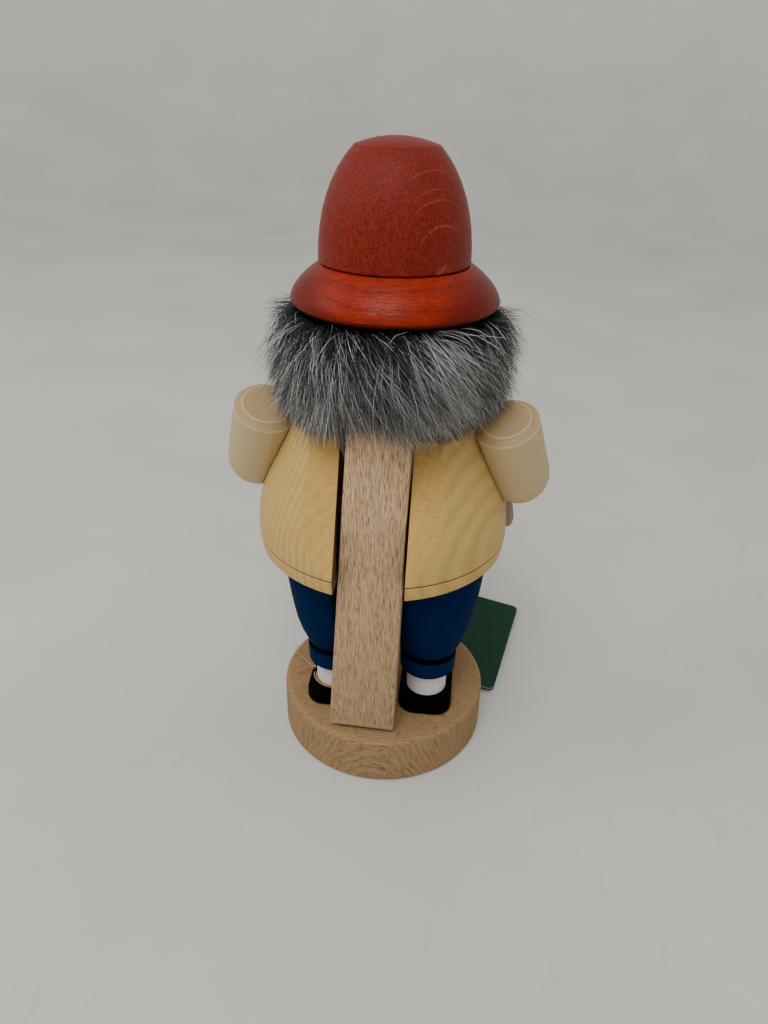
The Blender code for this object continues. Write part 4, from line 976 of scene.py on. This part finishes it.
HAIR_BACK_LIMIT = 0.0575
BRIM_UNDERSIDE = 0.1908
BRIM_REACH = 0.0375
HALF_BACK = 0.6
HALF_SIDE = 1.25
hair("hair_left_behind", -HALF_SIDE, -HALF_BACK, 6400, 12)
hair("hair_right_behind", HALF_BACK, HALF_SIDE, 6400, 13)
hair("hair_left_cheek", -round_end, -HALF_SIDE, 5400, 14)
hair("hair_right_cheek", HALF_SIDE, round_end, 5400, 15)

# The middle hangs over the knee
for name, start, end, seed in (
    ("hair_left_middle", -HALF_BACK, 0.0, 10),
    ("hair_right_middle", 0.0, HALF_BACK, 11),
):
    middle_hair = hair(name, start, end, 6400, seed, None)
    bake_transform(middle_hair)


def wisps(name, start, end, count, seed):
    """Stray dark strands that stand out beside the brim."""
    draw = np.random.default_rng(seed)
    angle = draw.uniform(start, end, count)
    out = np.stack([-np.sin(angle), np.cos(angle), np.zeros(count)], axis=1)
    side = np.stack([-np.cos(angle), -np.sin(angle), np.zeros(count)], axis=1)
    roots = out * SKIN_OUTER
    roots[:, 2] = SKIN_TOP - 0.004 * draw.uniform(0.1, 1.0, count)
    lengths = draw.uniform(0.010, 0.016, count)
    aside = 0.5 * side * draw.standard_normal((count, 1))
    rise = (0.0, 0.0, 1.0) * draw.uniform(-0.5, 0.75, (count, 1))
    last = unit(out + aside + rise)
    lines = [roots]
    for i in range(STRAND_STEPS):
        heading = unit(out * (1.0 - i / STRAND_STEPS) + last * (i / STRAND_STEPS))
        lines.append(lines[-1] + heading * (lengths / STRAND_STEPS)[:, None])
    lines = np.stack(lines, axis=1)
    reach = np.hypot(lines[:, :, 0], lines[:, :, 1])
    under = np.minimum(lines[:, :, 2], BRIM_UNDERSIDE)
    lines[:, :, 2] = np.where(reach < BRIM_REACH, under, lines[:, :, 2])
    return pile(name, lines, out, draw.uniform(0.1, 0.45, count), "figure")


wisps("hair_wisps_left", -1.7, -1.2, 110, 21)
wisps("hair_wisps_right", 1.2, 1.7, 60, 22)


# Beard: a patch of the same pile, paler than the hair, glued to the front of the lower
# jaw so that it rides with the lever. Its locks hang a little below the jaw.
JAW_FRONT_Y = -0.0281
BEARD_HALF_WIDTH = 0.0098
BEARD_LOWEST = 0.1515
BEARD_HIGHEST = 0.1595
BEARD_FOOT_Z = 0.1478
BEARD_HANG = 0.0035
BEARD_COUNT = 2600
beard_draw = np.random.default_rng(31)
beard_roots = np.stack(
    [
        beard_draw.uniform(-BEARD_HALF_WIDTH, BEARD_HALF_WIDTH, BEARD_COUNT),
        np.full(BEARD_COUNT, JAW_FRONT_Y),
        beard_draw.uniform(BEARD_LOWEST, BEARD_HIGHEST, BEARD_COUNT),
    ],
    axis=1,
)
beard_out = np.tile((0.0, -1.0, 0.0), (BEARD_COUNT, 1))
beard_side = np.tile((1.0, 0.0, 0.0), (BEARD_COUNT, 1))
beard_lengths = beard_roots[:, 2] - BEARD_FOOT_Z + BEARD_HANG
beard_lengths = beard_lengths * beard_draw.uniform(0.7, 1.0, BEARD_COUNT)
beard_lines, _ = grown(
    beard_roots,
    beard_out,
    beard_side,
    beard_lengths,
    np.full(BEARD_COUNT, -0.1),
    -12.0 * beard_roots[:, 0],
    np.full(BEARD_COUNT, 1.6),
    0.16,
    0.45,
    beard_draw,
)
beard = pile(
    "beard_pile",
    beard_lines,
    beard_out,
    np.clip(0.6 + 0.2 * beard_draw.standard_normal(BEARD_COUNT), 0.0, 1.0),
    "lever",
)
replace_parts(beard, "beard")


# Moustache: two tufts of the same pile, glued side by side under the nose and combed
# outwards, each to its own side.
FACE_RADIUS = 0.0281
TUFT_HALF_ANGLE = 0.24
TUFT_LOWEST = 0.1703
TUFT_HIGHEST = 0.1730
MOUSTACHE_COUNT = 900
tuft_draw = np.random.default_rng(32)
tuft_angle = tuft_draw.uniform(-TUFT_HALF_ANGLE, TUFT_HALF_ANGLE, MOUSTACHE_COUNT)
tuft_out = np.stack([np.sin(tuft_angle), -np.cos(tuft_angle), np.zeros(MOUSTACHE_COUNT)], axis=1)
tuft_side = np.stack([np.cos(tuft_angle), np.sin(tuft_angle), np.zeros(MOUSTACHE_COUNT)], axis=1)
tuft_side = tuft_side * np.sign(tuft_angle)[:, None]
tuft_roots = tuft_out * FACE_RADIUS
tuft_roots[:, 2] = tuft_draw.uniform(TUFT_LOWEST, TUFT_HIGHEST, MOUSTACHE_COUNT)
tuft_lines, _ = grown(
    tuft_roots,
    tuft_out,
    tuft_side,
    tuft_draw.uniform(0.006, 0.010, MOUSTACHE_COUNT),
    np.zeros(MOUSTACHE_COUNT),
    np.full(MOUSTACHE_COUNT, 1.7),
    np.full(MOUSTACHE_COUNT, 1.9),
    0.14,
    0.5,
    tuft_draw,
)
tuft_reach = np.hypot(tuft_lines[:, :, 0], tuft_lines[:, :, 1])
tuft_push = np.maximum(1.0, (FACE_RADIUS + 0.0006) / tuft_reach)
tuft_lines[:, :, :2] *= tuft_push[:, :, None]
tuft_shade = np.clip(0.62 + 0.2 * tuft_draw.standard_normal(MOUSTACHE_COUNT), 0.0, 1.0)
pile("moustache", tuft_lines, tuft_out, tuft_shade, "figure")


# Face: painted with a few strokes, flat on the turned wood. Calm round eyes, short
# brows and a plain row of teeth, the lower row on the jaw that moves.
PAINT_STEP = 0.00004


def paint(name, roughness, colour):
    """Opaque craft paint with a faint brushed unevenness."""
    finish, shader = new_finish(name, roughness, Specular_IOR_Level=0.3)
    dark = [0.88 * c for c in linear(colour)[:3]] + [1.0]
    mottled(finish, shader, 500.0, 3.0, [(0.3, dark), (0.7, linear(colour))])
    return finish


def stroke(name, points, finish, coats, body="figure"):
    """A painted patch on the face: rows of points (angle, height), wrapped round the wood."""
    patch = bmesh.new()
    reach = FACE_RADIUS + coats * PAINT_STEP
    rows = [
        [patch.verts.new((reach * math.sin(angle), -reach * math.cos(angle), z)) for angle, z in row]
        for row in points
    ]
    for low, high in zip(rows, rows[1:]):
        for i in range(len(low) - 1):
            patch.faces.new((low[i], low[i + 1], high[i + 1], high[i]))
    bmesh.ops.remove_doubles(patch, verts=patch.verts, dist=0.000001)
    bmesh.ops.recalc_face_normals(patch, faces=patch.faces)
    bmesh.ops.solidify(patch, geom=patch.faces[:], thickness=PAINT_STEP)
    bmesh.ops.recalc_face_normals(patch, faces=patch.faces)
    piece = built(name, patch, finish)
    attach(piece, body)


def oval(centre, half_width, half_height):
    """Rows of points that fill an oval, from its bottom to its top."""
    rows = []
    for i in range(13):
        turn = math.pi * i / 12
        across = half_width * math.sin(turn)
        z = centre[1] - half_height * math.cos(turn)
        rows.append([(centre[0] + across * (k / 6 - 1.0) / FACE_RADIUS, z) for k in range(13)])
    return rows


white_paint = paint("white_face_paint", 0.45, "#e4e0d8")
brown_paint = paint("brown_face_paint", 0.4, "#5a3a22")
black_paint = paint("black_face_paint", 0.35, "#0d0c0c")
EYE_ANGLE = 0.34
EYE_Z = 0.1808
BROW_ANGLE = 0.26
BROW_Z = 0.1846
BROW_ARCH = 0.0007
for side, sign in (("left", 1.0), ("right", -1.0)):
    eye_angle = sign * EYE_ANGLE
    eye = (eye_angle, EYE_Z)
    stroke("eye_white_" + side, oval(eye, 0.0031, 0.0016), white_paint, 1)
    stroke("eye_iris_" + side, oval(eye, 0.0015, 0.0015), brown_paint, 2)
    stroke("eye_pupil_" + side, oval(eye, 0.0008, 0.0008), black_paint, 3)
    brow = [
        [
            (eye_angle + (k / 8 - 0.5) * BROW_ANGLE, BROW_Z + BROW_ARCH * math.sin(math.pi * k / 8) + lift)
            for k in range(9)
        ]
        for lift in (0.0, 0.0006, 0.0012)
    ]
    stroke("eyebrow_" + side, brow, brown_paint, 1)
TEETH_HALF_ANGLE = 0.30
for name, floor_z, top_z, body in (
    ("teeth_upper", 0.1650, 0.1684, "figure"),
    ("teeth_lower", 0.1606, 0.1637, "lever"),
):
    rows = [
        [((k / 12 - 0.5) * 2 * TEETH_HALF_ANGLE, floor_z + (top_z - floor_z) * i / 2) for k in range(13)]
        for i in range(3)
    ]
    stroke(name, rows, white_paint, 1, body)


# Buttons: three small turned domes, stained brown and lacquered, glued one below the
# other down the jacket's front.
button_stain, button_shader = new_finish("brown_stained_button", 0.35, Coat_Weight=0.3)
button_tones = [(0.3, linear("#4b2a18")), (0.7, linear("#6d4226"))]
mottled(button_stain, button_shader, 700.0, 2.0, button_tones)
for number in ("1", "2", "3"):
    dressed("button_" + number, button_stain)


# Hat: brim and crown turned separately and soaked in red stain under satin lacquer.
# The crown's upright rings show as pale arches at one side, the brim's grain lies flat.
HAT_SHINE = {"roughness": 0.36, "gloss": 0.17, "coat": 0.02, "bump": 1.0, "depth": 0.0003}
CROWN_PITH = (27.5, -29.2, 0.0)
ARCH_ACROSS = (0.746, 0.666, 0.0)
ARCH_MIDDLE = 0.3
crown, crown_shader, crown_place, _ = wood(
    "red_stained_crown",
    (0.0, 0.0, 1.0),
    CROWN_PITH,
    5.0,
    ("#962311", "#90210f", "#7c1c0c", "#ab452c"),
    {
        **BEECH_LOOKS,
        "sway": 0.6,
        "fibre": 0.76,
        "grain_width": 0.5,
        "grain_length": 1.5,
        "fleck": 0.45,
        "fleck_width": 0.42,
        "fleck_length": 0.8,
        "fleck_start": 0.58,
        "end": 0.4,
    },
    HAT_SHINE,
)
crown_flat = add(crown, "VectorMath", {0: crown_place, 1: (1.0, 1.0, 0.0)}, operation="MULTIPLY")
crown_radius = add(crown, "VectorMath", {0: crown_flat}, operation="LENGTH")
crown_break = add(crown, "TexNoise", {"Vector": crown_place, "Scale": 0.6, "Detail": 3.0})
crown_gaps = add(crown, "MapRange", {"Value": crown_break, "From Min": 0.26, "From Max": 0.48})
crown_tangent = add(crown, "VectorMath", {0: crown_place, 1: ARCH_ACROSS}, operation="DOT_PRODUCT")
crown_aside = add(crown, "Math", {0: crown_tangent.outputs["Value"], 1: ARCH_MIDDLE}, operation="SUBTRACT")
crown_off = add(crown, "Math", {0: crown_aside}, operation="ABSOLUTE")

# Each arch: its ring's radius, half its width and the reach of its legs, in mm
CROWN_ARCHES = (
    (58.6, 0.1, 10.0),
    (61.4, 0.05, 9.0),
    (62.6, 0.07, 9.5),
    (64.7, 0.07, 8.5),
    (66.1, 0.03, 3.5),
)
for ring_radius, half, legs in CROWN_ARCHES:
    at_arch = add(
        crown,
        "Math",
        {0: crown_radius.outputs["Value"], 1: ring_radius, 2: half},
        operation="COMPARE",
    )
    near_top = add(
        crown,
        "MapRange",
        {"Value": crown_off, "From Min": legs, "From Max": 0.4 * legs, "To Max": 0.5},
    )
    broken = add(crown, "Math", {0: crown_gaps, 1: near_top}, operation="MULTIPLY")
    arch = add(crown, "Math", {0: at_arch, 1: broken}, operation="MULTIPLY")
    tint(crown, crown_shader, arch, linear("#b0553a"))
dressed("hat_crown", crown, 0.0002)
# The brim's end grain, at its left and right, is darkened more than the wood would be: partly real end
# grain, partly painted shade on the sides
brim, *_ = wood(
    "red_stained_brim",
    (1.0, 0.0, 0.0),
    (0.0, 20.0, 90.0),
    4.5,
    ("#a52b12", "#8c210e", "#641208", "#60140a"),
    {
        **BEECH_LOOKS,
        "sway": 6.0,
        "fibre": 0.5,
        "grain_width": 0.7,
        "grain_length": 9.0,
        "fleck": 0.35,
        "fleck_width": 0.4,
        "fleck_length": 3.0,
        "end": 0.9,
        "end_from": 0.36,
    },
    {**HAT_SHINE, "roughness": 0.32, "gloss": 0.15, "coat": 0.0, "depth": 0.00016},
)
dressed("hat_brim", brim, 0.0002)


# Swing tag: card printed matt green and folded double. Its cut edges show the pale
# paper core.
tag_card, tag_shader = new_finish("matt_green_card", 0.7, Specular_IOR_Level=0.15)
tag_tones = [(0.3, linear("#163525")), (0.7, linear("#1c4030"))]
tag_spot, _ = mottled(tag_card, tag_shader, 900.0, 4.0, tag_tones)
TAG_UP = (-0.0854, 0.0175, 0.9962)
tag_facing = add(
    tag_card,
    "VectorMath",
    {0: tag_spot.outputs["Normal"], 1: TAG_UP},
    operation="DOT_PRODUCT",
)
tag_square = add(tag_card, "Math", {0: tag_facing.outputs["Value"]}, operation="ABSOLUTE")
tag_cut = add(tag_card, "MapRange", {"Value": tag_square, "From Min": 0.7, "From Max": 0.5, "To Max": 0.75})
tint(tag_card, tag_shader, tag_cut, linear("#a9b3a8"))
dressed("swing_tag", tag_card)


# Thread: one thin gold thread, doubled. It goes down through the tag's hole and round
# the card's clipped edge, up over the foot, round the left ankle and into a knot.
THREAD_RADIUS = 0.00026
THREAD_HALF_GAP = 0.00044
ROUTE = (
    (29.53, 13.17, 28.7),
    (28.31, 16.8, 28.7),
    (25.51, 19.86, 28.7),
    (21.67, 21.45, 28.7),
    (17.52, 21.27, 28.7),
    (13.83, 19.35, 28.7),
    (11.3, 16.06, 28.7),
    (10.4, 12.0, 28.7),
    (7.2, 6.0, 28.7),
    (4.6, 0.0, 26.7),
    (2.0, -7.0, 23.7),
    (-2.0, -17.0, 22.8),
    (-8.0, -27.0, 22.8),
    (-19.0, -32.0, 22.8),
    (-31.43, -28.46, 22.64),
    (-32.53, -29.45, 22.44),
    (-33.46, -30.3, 21.64),
    (-34.06, -30.83, 20.38),
    (-34.21, -30.97, 19.2),
    (-34.43, -31.18, 10.75),
    (-36.83, -33.35, 4.9),
)
UNDER_CARD = ((-36.83, -33.35, 1.2), (-36.0, -32.7, 0.85), (-34.4, -31.3, 0.9))
ROUND_EDGE = ((-33.7, -30.75, 1.7), (-33.6, -30.7, 3.2), (-33.75, -30.75, 4.6))


def smoothed(points, count):
    """Evenly stepped points of a smooth line through some points, in metres."""
    knots = np.array(points) / 1000.0
    padded = np.vstack([2.0 * knots[0] - knots[1], knots, 2.0 * knots[-1] - knots[-2]])
    share = np.linspace(0.0, 1.0, 12, endpoint=False)[:, None]
    dense = []
    for a, b, c, d in zip(padded, padded[1:], padded[2:], padded[3:]):
        curve = 2.0 * b + (c - a) * share + (2.0 * a - 5.0 * b + 4.0 * c - d) * share ** 2
        dense.append(0.5 * (curve + (3.0 * b - a - 3.0 * c + d) * share ** 3))
    dense = np.vstack(dense + [knots[-1:]])
    reach = np.concatenate([[0.0], np.cumsum(np.linalg.norm(np.diff(dense, axis=0), axis=1))])
    steps = np.linspace(0.0, reach[-1], count + 1)
    return np.stack([np.interp(steps, reach, dense[:, i]) for i in range(3)], axis=1)


def beside(line, first, gap):
    """A line a gap away from another, starting on one side of it and never twisting."""
    rows = []
    side = np.array(first)
    for heading in unit(np.gradient(line, axis=0)):
        side = unit((side - heading * (side @ heading))[None, :])[0]
        rows.append(side)
    return line + gap * np.array(rows)


def thread(name, line, radius):
    """A round thread along a line."""
    curve = bpy.data.curves.new(name, "CURVE")
    curve.dimensions = "3D"
    curve.bevel_depth = radius
    curve.bevel_resolution = 2
    curve.use_fill_caps = True
    spline = curve.splines.new("POLY")
    spline.points.add(len(line) - 1)
    spline.points.foreach_set("co", np.c_[line, np.ones(len(line))].ravel())
    curve.materials.append(gold_thread)
    piece = placed(name, curve)
    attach(piece, "figure")
    return piece


gold_thread, gold_shader = new_finish("twisted_gold_thread", 0.45, Metallic=0.35, Specular_IOR_Level=0.4)
gold_tones = [(0.35, linear("#665230")), (0.6, linear("#c9ae72"))]
_, gold_twist = mottled(gold_thread, gold_shader, 3000.0, 2.0, gold_tones)
gold_bump = add(gold_thread, "Bump", {"Height": gold_twist, "Strength": 0.6, "Distance": 0.0001})
gold_thread.node_tree.links.new(gold_bump.outputs["Normal"], gold_shader.inputs["Normal"])
middle = smoothed(ROUTE, 150)
there = beside(middle, (1.0, 0.3, 0.0), THREAD_HALF_GAP)
back = beside(middle, (1.0, 0.3, 0.0), -THREAD_HALF_GAP)[::-1]
joining = smoothed(
    [tuple(1000.0 * there[-1])] + list(UNDER_CARD + ROUND_EDGE) + [tuple(1000.0 * back[6])],
    24,
)
doubled = np.vstack([there[:-1], joining, back[7:]])
tag_thread = thread("tag_thread_doubled", doubled, THREAD_RADIUS)
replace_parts(tag_thread, "tag_thread")

# The knot and its cut ends, one long and one short and frayed
KNOT_PLACE = np.array((0.03079, 0.01048, 0.0293))
KNOT_SIZE = 0.00030
KNOT_THREAD_RADIUS = 0.00036
END_RADIUS = 0.00018
turns = np.linspace(0.0, math.tau, 48, endpoint=False)
loops = np.stack(
    [
        np.sin(turns) + 2.0 * np.sin(2.0 * turns),
        -np.sin(3.0 * turns),
        np.cos(turns) - 2.0 * np.cos(2.0 * turns),
    ],
    axis=1,
)
knot_line = KNOT_PLACE + KNOT_SIZE * np.vstack([loops, loops[:1]])
knot = thread("thread_overhand_knot", knot_line, KNOT_THREAD_RADIUS)
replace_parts(knot, "thread_knot")
for number, tail in enumerate(
    (
        ((31.2, 9.6, 29.0), (34.5, 5.0, 27.5), (38.5, -2.0, 24.0), (42.0, -9.0, 22.5), (43.0, -11.4, 22.3)),
        ((31.4, 10.0, 28.8), (35.2, 5.6, 28.2), (39.6, -1.2, 25.2), (42.9, -7.4, 22.8), (43.6, -9.8, 22.3)),
        ((31.6, 10.2, 28.6), (34.0, 8.6, 26.6), (36.6, 7.0, 23.4), (39.7, 5.7, 22.3)),
        ((31.6, 10.4, 28.9), (34.4, 9.2, 27.4), (37.2, 8.4, 24.2), (39.3, 7.6, 22.4)),
    ),
    start=1,
):
    thread(f"thread_end_{number}", smoothed(tail, 16), END_RADIUS)
